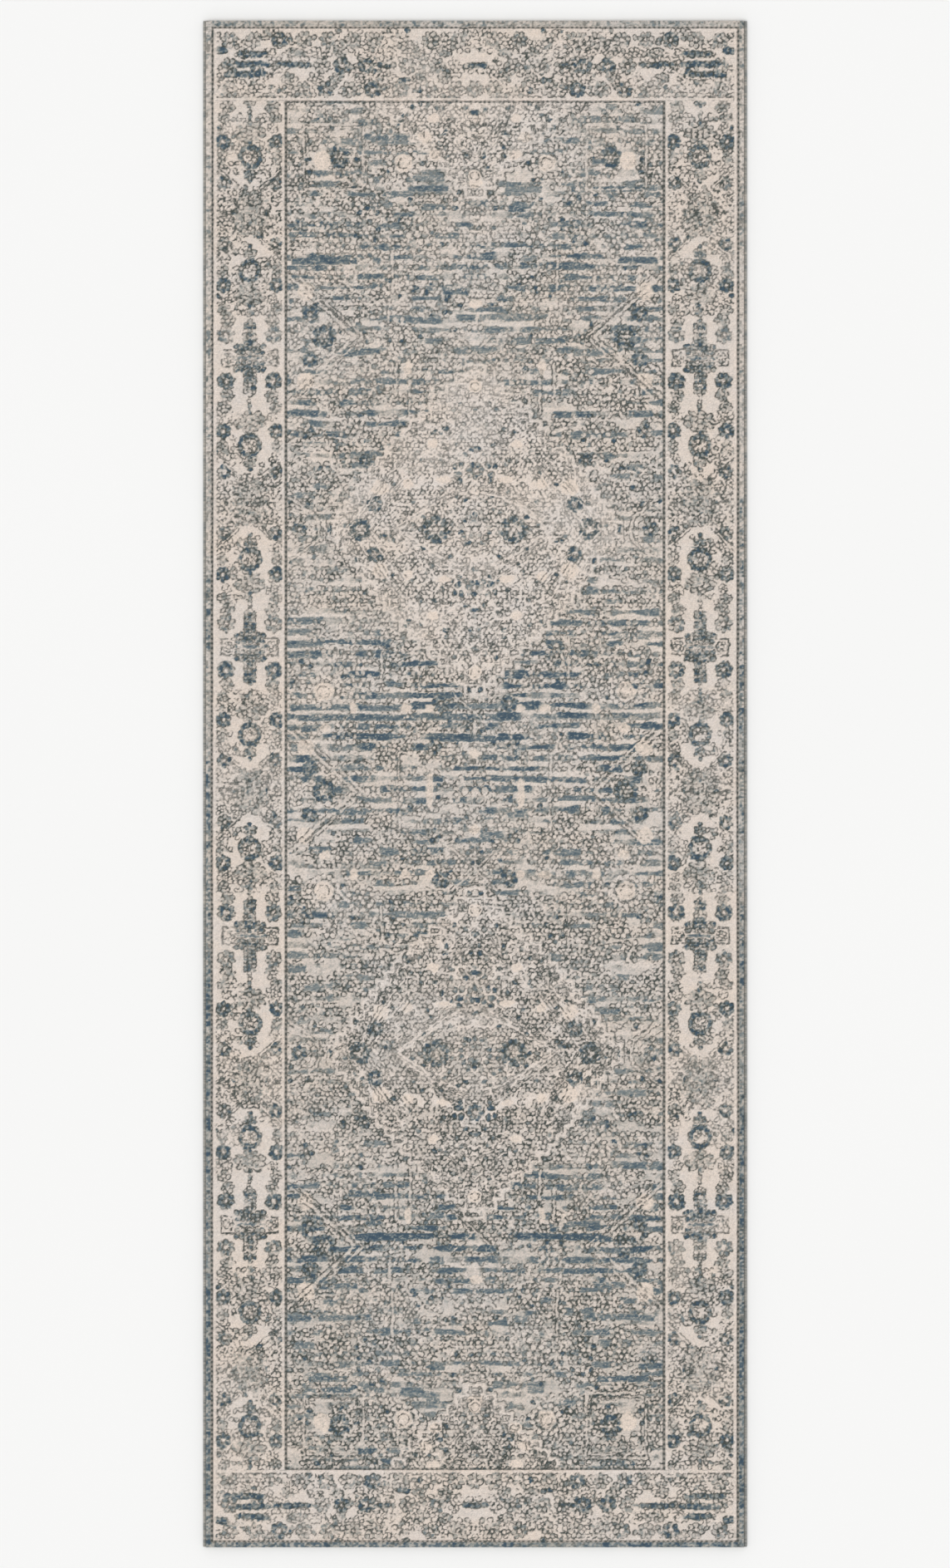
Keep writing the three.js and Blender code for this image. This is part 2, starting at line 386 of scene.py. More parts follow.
def medallion(d, v0):
    """Half of a large medallion: its outlines, its lens, its flowers and its small motifs."""
    outline, side = both_ends(stepped(MEDALLION, STAIR)), both_ends(MEDALLION[4:])
    for points, lines in ((outline, OUTLINES), (side, NESTED)):
        for share, kind, width in lines:
            d.path(v0, 1, [(u * share, v * share) for u, v in points], width, kind)
    d.rosette(0, v0, 27, HAZE, CREAM, NAVY)
    d.rosette(58, v0, 22, NAVY, CREAM, HAZE)
    d.cell(92, v0, 5, 3.4, tone=GREY)
    d.rosette(172, v0, 17, NAVY, CREAM, HAZE)
    for way in (-1, 1):
        for grow, kind, width in LENS:
            arc = ((115 + grow, 0), (92 + grow * 0.8, 14 + grow * 0.3), (62, 36 + grow * 0.8),
                   (34, 50 + grow), (12, 55 + grow))
            d.path(v0, way, arc, width, kind)
        d.rosette(149, v0 + way * 37, 13, NAVY, CREAM, GREY)
        d.rosette(0, v0 + way * 88, 14, HAZE, CREAM, NAVY)
        d.ringed(0, v0 + way * 214, 18)
        for u, v, a, b in ((141, 62, 13, 12), (47, 74, 12, 5), (100, 68, 8, 8), (62, 128, 9, 7)):
            d.patch(u, v0 + way * v, a, b)
        for u, v, a, b, tone in ((121, 68, 4.4, 3.2, NAVY), (24, 82, 6, 4.6, NAVY), (20, 96, 4, 5.4, BLUE),
                                 (30, 94, 3.4, 4.4, NAVY), (0, 120, 9, 3.8, NAVY), (44, 150, 5, 4, NAVY)):
            d.cell(u, v0 + way * v, a, b, tone=tone)
        d.cell(14, v0 + way * 113, 4.6, 3.4, 0.5 * way, BLUE)
        for u in (44, 57):
            box = [(u - 4, 84), (u + 4, 84), (u + 4, 112), (u - 4, 112), (u - 4, 88)]
            d.path(v0, way, box, 1.4, "dark")
        d.path(v0, way, [(88, 92), (100, 92), (100, 112), (92, 112), (92, 102)], 1.4, "dark")
        for k in range(4):
            low, high = 172 - 12 * k, 150 - 10 * k
            chevron = [(0, 186 - 13 * k), (16, low), (24, low), (40, high), (48, high)]
            d.path(v0, way, chevron, 1.4, "dark" if k % 2 else "light")


def cartouche(d, v0):
    """The half diamond that stands against the border."""
    for tip, kind, width in ((179, "light", 4.6), (167, "light", 3.0)):
        for way in (-1, 1):
            d.path(v0, way, [(tip, 0), (tip + 100, 92)], width, kind)
    d.rosette(225, v0, 18, NAVY, CREAM, NAVY)
    for way in (-1, 1):
        d.rosette(246, v0 + way * 34, 12.5, NAVY, GREY, HAZE)
        d.patch(253, v0 + way * 66, 13, 13)
        d.leaves(268, v0 + way * 12, 9, 10, tone=CREAM)


def hexagon(d, v0):
    """The small hexagon against the border, level with a medallion's middle."""
    for r, kind, width in ((37, "light", 3.6), (24, "dark", 1.2)):
        path = [(282, r * 1.35), (266, r * 1.1), (265 - r * 0.75, r * 0.5), (265 - r * 0.9, 0)]
        for way in (-1, 1):
            d.path(v0, way, path, width, kind)
    d.rosette(263, v0, 13, HAZE, CREAM, NAVY)
    d.cell(217, v0, 4, 7, tone=NAVY)


FLOWERS = {  # (the petals' yarn, every other petal's): (u, v, radius) over the field
    (HAZE, NAVY): ((261, 845, 12), (0, 95, 15)),
    (GREY, NAVY): ((161, 834, 21), (161, 679, 12), (253, 538, 13), (60, 66, 12), (0, 936, 22),
        (255, 185, 14)),
    (CREAM, HAZE): ((87, 830, 29),),
    (CREAM, GREY): ((219, 843, 22), (0, 868, 15), (212, 813, 14), (99, 778, 16), (0, 768, 25),
        (161, 585, 15), (159, 622, 19), (233, 239, 17), (181, 243, 24), (208, 196, 18), (45, 1000, 16),
        (160, 905, 14), (40, 42, 12), (80, 95, 15), (265, 300, 13), (262, 485, 13)),
    (CREAM, CREAM): ((0, 812, 15), (194, 762, 20), (140, 739, 15), (114, 692, 17), (214, 591, 18),
        (181, 537, 23), (124, 639, 14), (217, 207, 14), (171, 159, 23), (195, 86, 20), (136, 56, 19),
        (116, 0, 17), (0, 0, 36), (0, 985, 20), (88, 165, 16)),
    (GREY, HAZE): ((48, 664, 15), (204, 1009, 16)),
    (GREY, CREAM): ((67, 605, 17), (150, 1000, 14)),
    (NAVY, NAVY): ((165, 494, 10), (203, 947, 17)),
    (CREAM, NAVY): ((122, 203, 19), (150, 875, 15)),
    (NAVY, GREY): ((51, 131, 14),),
}
STALKS = (  # (u, from v, to v)
    (123, 746, 812), (97, 565, 615), (113, 19, 58), (0, 81, 103), (118, 590, 640), (140, 170, 230),
    (128, 700, 735),
)
PLAIN = (  # (u, v, half width, half length)
    (254, 614, 12, 12), (252, 750, 12, 12), (100, 632, 6, 12), (68, 4, 6, 22), (104, 124, 9, 7),
    (68, 124, 8, 7), (74, 977, 10, 8), (60, 950, 10, 8), (0, 908, 12, 7), (0, 729, 11, 7), (0, 56, 9, 7),
    (223, 95, 9, 7), (181, 124, 7, 9),
)


def field(d):
    """The field's motifs."""
    for (tone, other), places in FLOWERS.items():
        for u, v, r in places:
            d.rosette(u, v, r, tone, CREAM, other)
    d.ringed(226, 149, 26)
    d.ringed(107, 938, 25)
    for v0 in (MEDALLION_AT, END_MEDALLION_AT):
        medallion(d, v0)
    hexagon(d, MEDALLION_AT)
    for grow, width, kind in ((-5, 1.1, "dark"), (2.3, 3.2, "light")):
        a, b = 42 + grow, 46 + grow
        box = ((-1, -1), (1, -1), (1, 1), (-1, 1), (-1, -1))
        d.line([(211 + a * p, 947 + b * q) for p, q in box], width, kind)
    d.patch(228, 942, 13, 15)
    for u, low, high in STALKS:
        d.line([(u, low), (u, high)], 3.6, "light")
    for way in (-1, 1):
        for v in (656, 116):
            d.path(v, way, [(0, 0), (34, 32)], 2.6, "light")
            d.path(v, way, [(4, 0), (38, 32)], 1.2, "dark")
    for v0 in CARTOUCHES_AT:
        cartouche(d, v0)
        for way in (-1, 1):
            loop = [(164, 30), (204, 30), (208, 36), (204, 45), (164, 45), (158, 38), (164, 30)]
            d.path(v0, way, loop, 1.3, "dark")
    for u, v, a, b in PLAIN:
        d.patch(u, v, a, b)


def in_medallion(u, v):
    """1 inside the large medallions, falling to 0 over a few millimetres outside them."""
    inside = np.zeros(np.broadcast(u, v).shape)
    for v0 in (MEDALLION_AT, END_MEDALLION_AT):
        half = medallion_half_width(np.abs(v - v0))
        inside = np.maximum(inside, smooth_step(-3, 3, half - u))
    return inside


def end_border(d):
    """The strip across an end, with its rows of flowers and bars. v counts out from the field."""
    rows = (
        (17, {NAVY: (153,), BLUE: (223,), GREY: (188, 111, 28, 0, 258, 366), CREAM: (69,)}),
        (52, {NAVY: (162, 198), GREY: (100, 228), CREAM: (130,), HAZE: (56, 366)}),
        (91, {NAVY: (292,), GREY: (25, 151, 182, 255, 330), CREAM: (112,), HAZE: (66, 219, 366)}),
    )
    for w, row in rows:
        for tone, places in row.items():
            for u in places:
                d.rosette(u, STRIP + w, 13.0, tone, CREAM, GREY)
    bars = (  # (u, how far out, half width, half thickness)
        (0, 53, 17, 4.0), (333, 70, 22, 4.4), (337, 55, 30, 4.4), (271, 54, 24, 3.6), (344, 40, 31, 4.4),
        (104, 31, 5, 4), (378, 76, 6, 5), (137, 53, 9, 3.0),
    )
    for u, w, half, thick in bars:
        d.patch(u, STRIP + w, half, thick + 0.6, blot=True)
        for k in range(int(2 * half / 9) + 1):
            at = u - half + 9 * k + 3
            if at > 0:
                d.cell(at, STRIP + w + d.rng.uniform(-1, 1), 5.4, thick, 0, NAVY)
    for u in (45, 85, 130, 172, 205, 240, 275, 310, 350):
        for w in (34, 72):
            shift, turn = d.rng.uniform(-5, 5), d.rng.uniform(-0.5, 0.5)
            d.leaves(u + shift, STRIP + w, 10, 7, turn, GREY if u % 2 else CREAM)


def fill(d):
    """Small buds over what the motifs leave open."""
    step = 7.3
    regions = (
        ("field", 0, 281, -3, 1057), ("end", 0, 391, STRIP + 3, STRIP + 106), ("side", 286, 388, -3, 1057),
    )
    for region, u_low, u_high, v_low, v_high in regions:
        for row, v in enumerate(np.arange(v_low, v_high, step * 0.82)):
            for u in np.arange(u_low + step * (0.25 + 0.5 * (row % 2)), u_high, step):
                at_u, at_v = u + d.rng.uniform(-1.6, 1.6), v + d.rng.uniform(-1.3, 1.3)
                a, b = d.rng.uniform(3.0, 5.0), d.rng.uniform(2.7, 3.9)
                turn, pick = d.rng.normal(0, 0.7), d.rng.random()
                i = min(int((at_v + OVERLAP) / PITCH), len(d.v) - 1)
                j = min(int((at_u + OVERLAP) / PITCH), len(d.u) - 1)
                if at_u < 0.5 or d.near[i, j] < 1.2 or d.plain[i, j] < 1.0 or d.light[i, j] < 0.8:
                    continue
                spot = np.array(at_u), np.array(at_v)
                window = value_noise(*spot, 38, 13, 5) + 0.35 * value_noise(*spot, 15, 8, 6)
                if region == "field":
                    within = in_medallion(*spot) > 0.5
                    if window > (1.08 if within else 0.84):
                        continue
                    grey = 0.12 if within else 0.28
                elif region == "end":
                    if window > 0.74:
                        continue
                    grey = 0.35
                else:
                    # the side border stays open except near its motifs and its sprays
                    away = abs((at_v + REPEAT / 2) % REPEAT - REPEAT / 2)
                    limit = 0.85 if away < 38 else 0.66 if away < 150 else 0.0
                    if d.near[i, j] > (9 if away < 38 else 6.5) or window > limit:
                        continue
                    grey = 0.3
                tone = CREAM if pick > grey else GREY if pick > 0.10 else HAZE if pick > 0.04 else NAVY
                d.cell(at_u, at_v, a, b, turn, tone, 1.0)


def draw():
    """The whole design. Each zone is wiped clear of what reaches into it before it is drawn."""
    d = Drawing()
    field(d)
    d.wipe(np.s_[:, np.searchsorted(d.u, FIELD_LINE - 1):])
    side_border(d)
    d.wipe(np.s_[np.searchsorted(d.v, STRIP - 8):, :])
    end_border(d)
    fill(d)
    return d


# ---- the streaks of worn colour, which aren't mirrored
# how far up the rug: (from where across it, to where, strength), in millimetres of rug
STREAKS = {
    987: ((-175, -140, 0.9), (-120, -95, 1.0)), 1011: ((115, 147, 0.6), (195, 212, 0.7)),
    967: ((-165, -130, 0.8), (-122, -90, 0.8)), 904: ((-160, -142, 0.7), (-103, -43, 0.6)),
    889: ((-158, -135, 0.6), (-100, -40, 0.9), (45, 100, 0.6), (143, 165, 0.8), (187, 272, 0.8)),
    860: ((50, 75, 1.0), (-80, -44, 0.8)),
    819: ((-278, -240, 0.8), (-60, -25, 0.7), (115, 135, 0.7), (250, 272, 0.7)),
    783: ((-274, -176, 1.0), (-153, -140, 0.9), (72, 93, 0.7), (215, 272, 0.9)), 735: ((-48, -10, 0.9),),
    698: ((-28, 0, 0.9), (8, 110, 0.6)), 661: ((-75, -50, 0.7), (14, 78, 0.6), (90, 135, 0.8)),
    644: ((-197, -143, 0.9), (-108, -90, 0.6), (147, 193, 0.7)),
    553: ((-273, -233, 1.0), (117, 144, 0.9), (150, 172, 1.0), (233, 265, 0.9)),
    523: ((-280, -257, 0.9), (-243, -227, 0.7), (-222, -205, 1.0), (255, 280, 0.8)),
    243: ((-280, -226, 0.8),), 227: ((-280, -235, 0.7),), 208: ((-280, -226, 0.7),),
    192: ((-280, -235, 0.8),), 242: ((114, 150, 0.8), (200, 258, 0.9)), 222: ((200, 260, 0.6),),
    205: ((120, 210, 0.5),), 115: ((-275, 100, 0.8), (150, 270, 0.6)),
    99: ((-265, 40, 0.9), (90, 260, 0.6)), 83: ((-260, -235, 0.9),), 67: ((-60, 45, 1.0),),
    53: ((-220, -150, 0.6),), 26: ((-208, -165, 0.7),),
    7: ((-197, -160, 0.8), (-64, -47, 1.0), (28, 108, 0.9)), -22: ((128, 180, 0.8),),
    -41: ((-208, -162, 0.8),), -54: ((-200, -165, 0.8),), -47: ((45, 80, 0.7),), -77: ((7, 43, 0.8),),
    -98: ((-248, -215, 0.9), (-90, -47, 0.9)), -121: ((-270, -120, 0.4),), -137: ((60, 220, 0.4),),
    -155: ((-280, -258, 0.9),), -195: ((-259, -208, 1.0), (-122, -97, 0.8)),
    -223: ((-280, -258, 0.8), (-90, -64, 1.0)), -246: ((258, 280, 0.8),), -278: ((-280, -252, 0.8),),
    -321: ((150, 182, 0.8),), -339: ((186, 216, 0.9),), -584: ((84, 108, 1.0),),
    -600: ((-257, -230, 0.8), (-135, -97, 0.8), (64, 92, 0.9), (111, 190, 0.8)),
    -613: ((-190, -150, 0.9),), -644: ((-68, -46, 0.9), (92, 115, 0.8)),
    -657: ((-163, -138, 0.8), (126, 186, 0.9)), -676: ((-186, 1, 1.25), (48, 190, 1.25)),
    -710: ((-68, -46, 0.8), (135, 182, 0.8)),
    -727: ((-206, -166, 0.9), (-151, -120, 0.8), (127, 177, 0.9)),
    -749: ((-233, -175, 0.8), (177, 224, 0.8)),
    -797: ((-280, -245, 0.9), (-233, -155, 0.8), (57, 79, 0.7), (162, 268, 0.8)),
    -838: ((-269, -240, 0.7),), -871: ((-73, -46, 0.8), (244, 280, 0.9)),
    -888: ((-249, -190, 0.9), (182, 260, 1.0)),
    -906: ((-257, -237, 0.8), (-229, -182, 0.9), (-166, -135, 0.8), (-111, -77, 0.8), (79, 103, 0.7)),
    -923: ((-73, -53, 0.8), (126, 162, 0.8)), -996: ((-175, -147, 1.0), (-131, -100, 0.7)),
    -1013: ((-151, -124, 1.0), (186, 224, 1.0)),
}
# how strong the streaks are in general, going up the rug
STREAKINESS = (
    (-1025, 0.42), (-960, 0.42), (-900, 0.52), (-760, 0.62), (-690, 0.85), (-600, 0.72), (-520, 0.46),
    (-300, 0.45), (-180, 0.55), (-60, 0.6), (60, 0.85), (140, 0.85), (240, 0.62), (330, 0.42),
    (480, 0.5), (560, 0.66), (640, 0.5), (790, 0.72), (890, 0.55), (1025, 0.4),
)
STREAK_PERIOD = 15.6  # from one row of the general pattern to the next
# where the dotted lines run along the rug, from its middle line
FIELD_LINE = 282.5
GUARD_LINE = 392.9
BEAD = 7.2  # spacing of their dots
PALE_HALF = 386  # half the length of the pale lines across the field's ends


def streaks(x, y):
    """The ground's dye over the field, from 0 to 1, and where a streak leaves the ground bare."""
    noise = partial(value_noise, x, y)
    drift = 5 * (noise(70, 30, 31) - 0.5) + 1.5 * (noise(8, 3.0, 39) - 0.5)
    phase = (y + drift) / STREAK_PERIOD
    row = np.floor(phase)
    part = phase - row
    slim = 0.26 * (value_noise(x, row * 5.7, 22, 1, 30) - 0.45) + 0.16 * (noise(4.5, 4, 70) - 0.5)
    band = smooth_step(0.15 + slim, 0.28 + slim, part) * (1 - smooth_step(0.70 - slim, 0.83 - slim, part))
    along = value_noise(x + 37 * row, row * 7.3, 30, 1, 32) * 0.65
    along = along + value_noise(x, row * 3.1, 9, 1, 33) * 0.35
    general = np.interp(y[:, 0], *zip(*STREAKINESS))[:, None]
    dye = general * (0.25 + 1.1 * smooth_step(0.30, 0.72, along))
    hole = smooth_step(0.20, 0.30, along)
    fleck = 0.60 + 0.50 * noise(6, 1.5, 29) + 0.26 * noise(3.2, 2.6, 71)
    fleck = fleck * (1 - 0.55 * smooth_step(0.66, 0.80, noise(2.4, 1.6, 28)))
    dye = 0.98 * band * dye * hole
    ends = 3.5 * (noise(200, 1.6, 34) - 0.5) + 1.5 * (noise(3, 1.3, 35) - 0.5)
    strong = np.zeros(x.shape)
    rough = noise(4.2, 3.0, 37)
    for middle, runs in STREAKS.items():
        rows = np.nonzero(np.abs(y[:, 0] - middle) < 9)[0]
        if not len(rows):
            continue
        cut = slice(rows[0], rows[-1] + 1)
        xs, ys, wobble = x[cut], y[cut], ends[cut]
        tall = 1 - smooth_step(3.7, 5.9, np.abs(ys - middle + drift[cut]) + 1.2 * (rough[cut] - 0.5))
        mottle = 0.78 + 0.3 * value_noise(xs, ys, 9, 2.2, 36)
        for left, right, strength in runs:
            wide = smooth_step(-1.5, 1.5, xs - left + wobble) * smooth_step(-1.5, 1.5, right - xs + wobble)
            dye[cut] = np.maximum(dye[cut], tall * wide * (strength * mottle))
            strong[cut] = np.maximum(strong[cut], tall * wide * smooth_step(0.3, 0.8, strength))
    dye = dye * fleck
    cover = general * 0.62 + 0.38
    bare = band * smooth_step(0.0, 0.10, along * cover + 0.16 * (rough - 0.5) - 0.42)
    bare = np.maximum(bare, strong * smooth_step(0.24, 0.42, rough + 0.5 * (noise(14, 5, 38) - 0.4)))
    return dye, bare


# ---- the yarn at each point of the rug
DESIGN_MIDDLE = -11.0  # the mirror line across the rug, a little below the rug's own middle


def sample(d, store, u, v):
    """A drawn distance at points between the drawing's own."""
    gu = np.clip((u + OVERLAP) / PITCH, 0, len(d.u) - 1.001)
    gv = np.clip((v + OVERLAP) / PITCH, 0, len(d.v) - 1.001)
    iu, iv = gu.astype(int), gv.astype(int)
    fu, fv = gu - iu, gv - iv
    low = store[iv, iu] * (1 - fu) + store[iv, iu + 1] * fu
    high = store[iv + 1, iu] * (1 - fu) + store[iv + 1, iu + 1] * fu
    return low * (1 - fv) + high * fv


def zone_lines(x, y):
    """The dotted lines that part the zones, the pale lines beside them, and where the guard's line runs."""
    noise = partial(value_noise, x, y)
    bead = 0.5 + 0.5 * np.sin(y * 2 * np.pi / BEAD + 2 * noise(60, 9, 50))
    bead_x = 0.5 + 0.5 * np.sin(x * 2 * np.pi / BEAD + 2 * noise(9, 60, 51))
    wander = 1.3 * (noise(3, 3, 52) - 0.5)
    beside = np.abs(np.abs(x) - FIELD_LINE + 0.7 * wander)
    along_field = (y < FIELD_TOP + 1) * (y > FIELD_BOTTOM - 1)
    dotted = (1 - smooth_step(1.3, 2.6, beside)) * (0.62 + 0.38 * bead) * along_field
    sideways = GUARD_LINE + 1.6 * (value_noise(y, x > 0, 500, 0.5, 69) - 0.5) + 0.8 * wander
    guard_line = (1 - smooth_step(1.5, 2.8, np.abs(np.abs(x) - sideways))) * (0.62 + 0.38 * bead)
    guard_line = guard_line * (y < BORDER_TOP_AT + 2) * (y > BORDER_BOTTOM_AT - 3)
    across_line = np.minimum(np.abs(y - FIELD_TOP + 1.5 + wander), np.abs(y - FIELD_BOTTOM - 1.5 + wander))
    dotted_x = (1 - smooth_step(0.8, 1.9, across_line)) * (0.35 + 0.65 * bead_x)
    dotted_x = dotted_x * (np.abs(x) < FIELD_LINE + 1.5)
    end_line = np.minimum(np.abs(y - BORDER_TOP_AT - 0.5 + wander),
                          np.abs(y - BORDER_BOTTOM_AT + 2 + wander))
    end_line = (1 - smooth_step(0.8, 1.9, end_line)) * (0.45 + 0.55 * bead_x) * (np.abs(x) < GUARD_LINE)
    parting = np.maximum(np.maximum(dotted, guard_line), np.maximum(dotted_x, end_line))
    inside_guard = np.abs(np.abs(x) - sideways + 4.2)
    clear = np.minimum(np.abs(np.abs(x) - (FIELD_LINE + 3)), inside_guard)
    clear = np.where((y > FIELD_TOP) | (y < FIELD_BOTTOM), inside_guard, clear)
    pale = 1 - smooth_step(2.0, 3.4, clear)
    cream_y = np.minimum(np.abs(y - FIELD_TOP - 2.4), np.abs(y - FIELD_BOTTOM + 2.4))
    pale = np.maximum(pale, (1 - smooth_step(1.6, 2.8, cream_y)) * (np.abs(x) < PALE_HALF))
    return parting, pale, sideways


def guard_band(x, y, sideways):
    """Where the guard band is, and its dye and lines: mottled, with short darker bars here and there."""
    noise = partial(value_noise, x, y)
    on_side = np.abs(x) > sideways + 1.4
    in_guard = on_side | (y > BORDER_TOP_AT + 1.5) | (y < BORDER_BOTTOM_AT - 3.2)
    run = np.where(on_side, y + 500 * (x > 0), x * 0.7 + 900 * (y > 0))
    depth = np.where(on_side, np.abs(x), np.abs(y))
    region = value_noise(run, run * 0, 90, 1, 55)
    bars = 0.62 * value_noise(run + 1.5 * noise(3, 3, 53), depth, 6.5, 16, 54) + 0.38 * region
    speckle = smooth_step(0.35, 0.75, noise(3.2, 2.8, 59))
    lower = 0.26 * smooth_step(800, -900, y) - 0.09 + 0.10 * (y > BORDER_TOP_AT)
    deep = 0.45 + 0.75 * smooth_step(900, -600, y)
    dye = 0.16 + lower + deep * speckle * 0.42 * (0.35 + region)
    dye = dye + deep * 0.46 * smooth_step(0.56, 0.76, bars) * (0.5 + speckle)
    return in_guard, dye, 0.55 * smooth_step(0.62, 0.8, noise(3.2, 3.2, 56))


def rug_maps(d, across, along):
    """The yarn at each crossing of the grid: dye (0 cream, 1 navy), line (1 in dark outlines) and warm."""
    x, y = np.meshgrid(across, along)
    noise = partial(value_noise, x, y)
    warp_x = 2.2 * (noise(3.4, 3.4, 1) - 0.5) + 1.6 * (noise(14, 14, 2) - 0.5)
    warp_y = 2.2 * (noise(3.4, 3.4, 3) - 0.5) + 1.6 * (noise(14, 14, 4) - 0.5)
    u = np.abs(x + warp_x)
    v = np.abs(y + warp_y - DESIGN_MIDDLE)
    end = (y > FIELD_TOP) | (y < FIELD_BOTTOM)
    strip_v = STRIP + np.where(y > 0, y - FIELD_TOP, FIELD_BOTTOM - y) + warp_y
    v = np.where(end, strip_v, v)
    near, second, blot = sample(d, d.near, u, v), sample(d, d.second, u, v), sample(d, d.blot, u, v)
    sway = 2.2 * (noise(8, 8, 5) - 0.5)
    dark, light = sample(d, d.dark, u + sway, v + sway), sample(d, d.light, u + sway, v + sway)
    light = light + 2.6 * (noise(3.6, 3.2, 73) - 0.5)
    plain = sample(d, d.plain, u, v)
    iu = np.clip(np.rint((u + OVERLAP) / PITCH).astype(int), 0, len(d.u) - 1)
    iv = np.clip(np.rint((v + OVERLAP) / PITCH).astype(int), 0, len(d.v) - 1)
    tone, loose = d.tone[iv, iu], d.loose[iv, iu]

    in_field = (np.abs(x) < FIELD_HALF) & ~end
    open_ground = 1 - smooth_step(-0.4, 0.5, -near)
    within = in_medallion(u, v) * in_field
    streak, bare = streaks(x, y)
    bare = bare * in_field * (1 - within) * np.clip(loose + (near > 0) + 0.15, 0, 1)
    lower_half = smooth_step(300, -700, y)
    gap = (0.03 + 0.18 * noise(50, 7, 41)) * (0.4 + 0.6 * lower_half)
    field_ground = np.where(in_field, np.maximum(streak, gap) * (1 - within), 0.03)

    # worn cells: their dye fades here and there, and the streaks tint them a little
    fade = smooth_step(0.30, 0.62, noise(11, 7, 42))
    mottle = smooth_step(0.25, 0.70, noise(3.0, 2.6, 60))
    cell_dye = (tone + 0.06) * (0.5 + 0.5 * fade) * (0.40 + 0.80 * mottle)
    cell_dye = cell_dye - 0.07 * within * (1 - lower_half)
    deeper = 0.2 + 0.8 * lower_half
    cell_dye = cell_dye + in_field * (1 - within) * (0.03 + 0.08 * loose) * (streak + 0.25) * deeper
    cell_dye = cell_dye + in_field * within * 0.10 * smooth_step(100, -200, y)
    on_blot = 1 - smooth_step(-1.2, 1.6, blot + 3.4 * (noise(3.6, 3.0, 63) - 0.5))
    pale_dots = smooth_step(0.58, 0.74, noise(3.2, 2.8, 64))
    cell_dye = np.maximum(cell_dye, on_blot * (1 - 0.75 * pale_dots) * (0.50 + 0.42 * mottle))
    open_ground = np.maximum(open_ground * (1 - on_blot), bare)
    dye = cell_dye * (1 - open_ground) + field_ground * open_ground
    on_light = 1 - smooth_step(-0.4, 0.6, light)
    on_light = on_light * smooth_step(0.22, 0.48, noise(6, 6, 43) - 0.12 * within)
    dye = dye * (1 - 0.9 * on_light) + 0.07 * on_light * in_field * (1 - within)
    on_plain = 1 - smooth_step(-1.5, 1.0, plain + 3 * (noise(5, 5, 44) - 0.5))
    dye = dye * (1 - 0.9 * on_plain)

    # outlines, broken into short strokes of uneven width
    ragged = noise(2.6, 2.6, 45) * 0.6 + noise(6.5, 5.0, 46) * 0.4
    wide = 0.52 + 1.6 * (ragged - 0.42)
    rim = 1 - smooth_step(wide - 0.4, wide + 0.55, np.abs(near))
    between = (1 - smooth_step(wide + 0.2, wide + 1.3, second - near)) * (1 - smooth_step(-0.2, 0.4, near))
    between = between * smooth_step(0.34, 0.52, noise(5.4, 4.6, 65))
    drawn = 1 - smooth_step(-0.3, 0.6, dark + 1.5 * (0.5 - ragged))
    flank = 1 - smooth_step(0.5, 1.6, np.abs(light - 1.2 - 0.8 * (ragged - 0.5)))
    flank = flank * (1 - 0.25 * within)
    edge = (1 - smooth_step(0.06, 0.20, np.abs(streak - 0.42))) * open_ground * in_field * (1 - within)
    line = np.maximum(rim, between) * (1 - on_light) * (1 - on_plain)
    line = np.maximum(line, np.maximum(drawn, 0.9 * flank))
    line = np.maximum(line, 0.55 * edge * smooth_step(0.35, 0.55, ragged))
    unbroken = np.where(in_field, 0.03 + 0.01 * within, 0.05)
    breaks = noise(3.4, 3.0, 47) * 0.7 + noise(13, 13, 48) * 0.3
    breaks = smooth_step(0.34, 0.48, breaks + unbroken)
    line = line * breaks * (1 - bare)
    worn = 0.74 + 0.26 * smooth_step(0.2, 0.6, noise(90, 60, 49))
    worn = worn - within * (0.10 - 0.13 * lower_half)
    worn = worn * (0.76 + 0.42 * noise(5.5, 4.5, 66))
    line = line * worn * (1 + 0.16 * in_field * lower_half)
    grain = np.random.default_rng(61).random(x.shape) - 0.5
    line = line * (1 + 0.5 * grain) + 0.09 * smooth_step(0.30, 0.5, grain)

    parting, pale, sideways = zone_lines(x, y)
    line = np.maximum(line * (1 - 0.85 * pale), parting)
    dye = dye * (1 - 0.8 * pale)
    in_guard, guard_dye, guard_marks = guard_band(x, y, sideways)
    dye = np.where(in_guard, guard_dye, dye)
    line = np.where(in_guard, guard_marks, line)

    in_border = ~in_field & ~in_guard
    warm = noise(70, 45, 57) * 0.5 + noise(22, 14, 58) * 0.3 + noise(4, 3, 67) * 0.25 - 0.02
    warm = warm + 0.08 * in_border + 0.45 * on_plain
    dye = dye + 0.12 * (np.random.default_rng(62).random(x.shape) - 0.5)
    flecks = smooth_step(0.55, 0.85, noise(2.6, 2.0, 68))
    dye = dye + 0.16 * flecks * (1 - 0.5 * in_border - 0.5 * within)
    return np.clip(dye, -0.1, 1.2), np.clip(line, 0, 1), np.clip(warm, 0, 1)


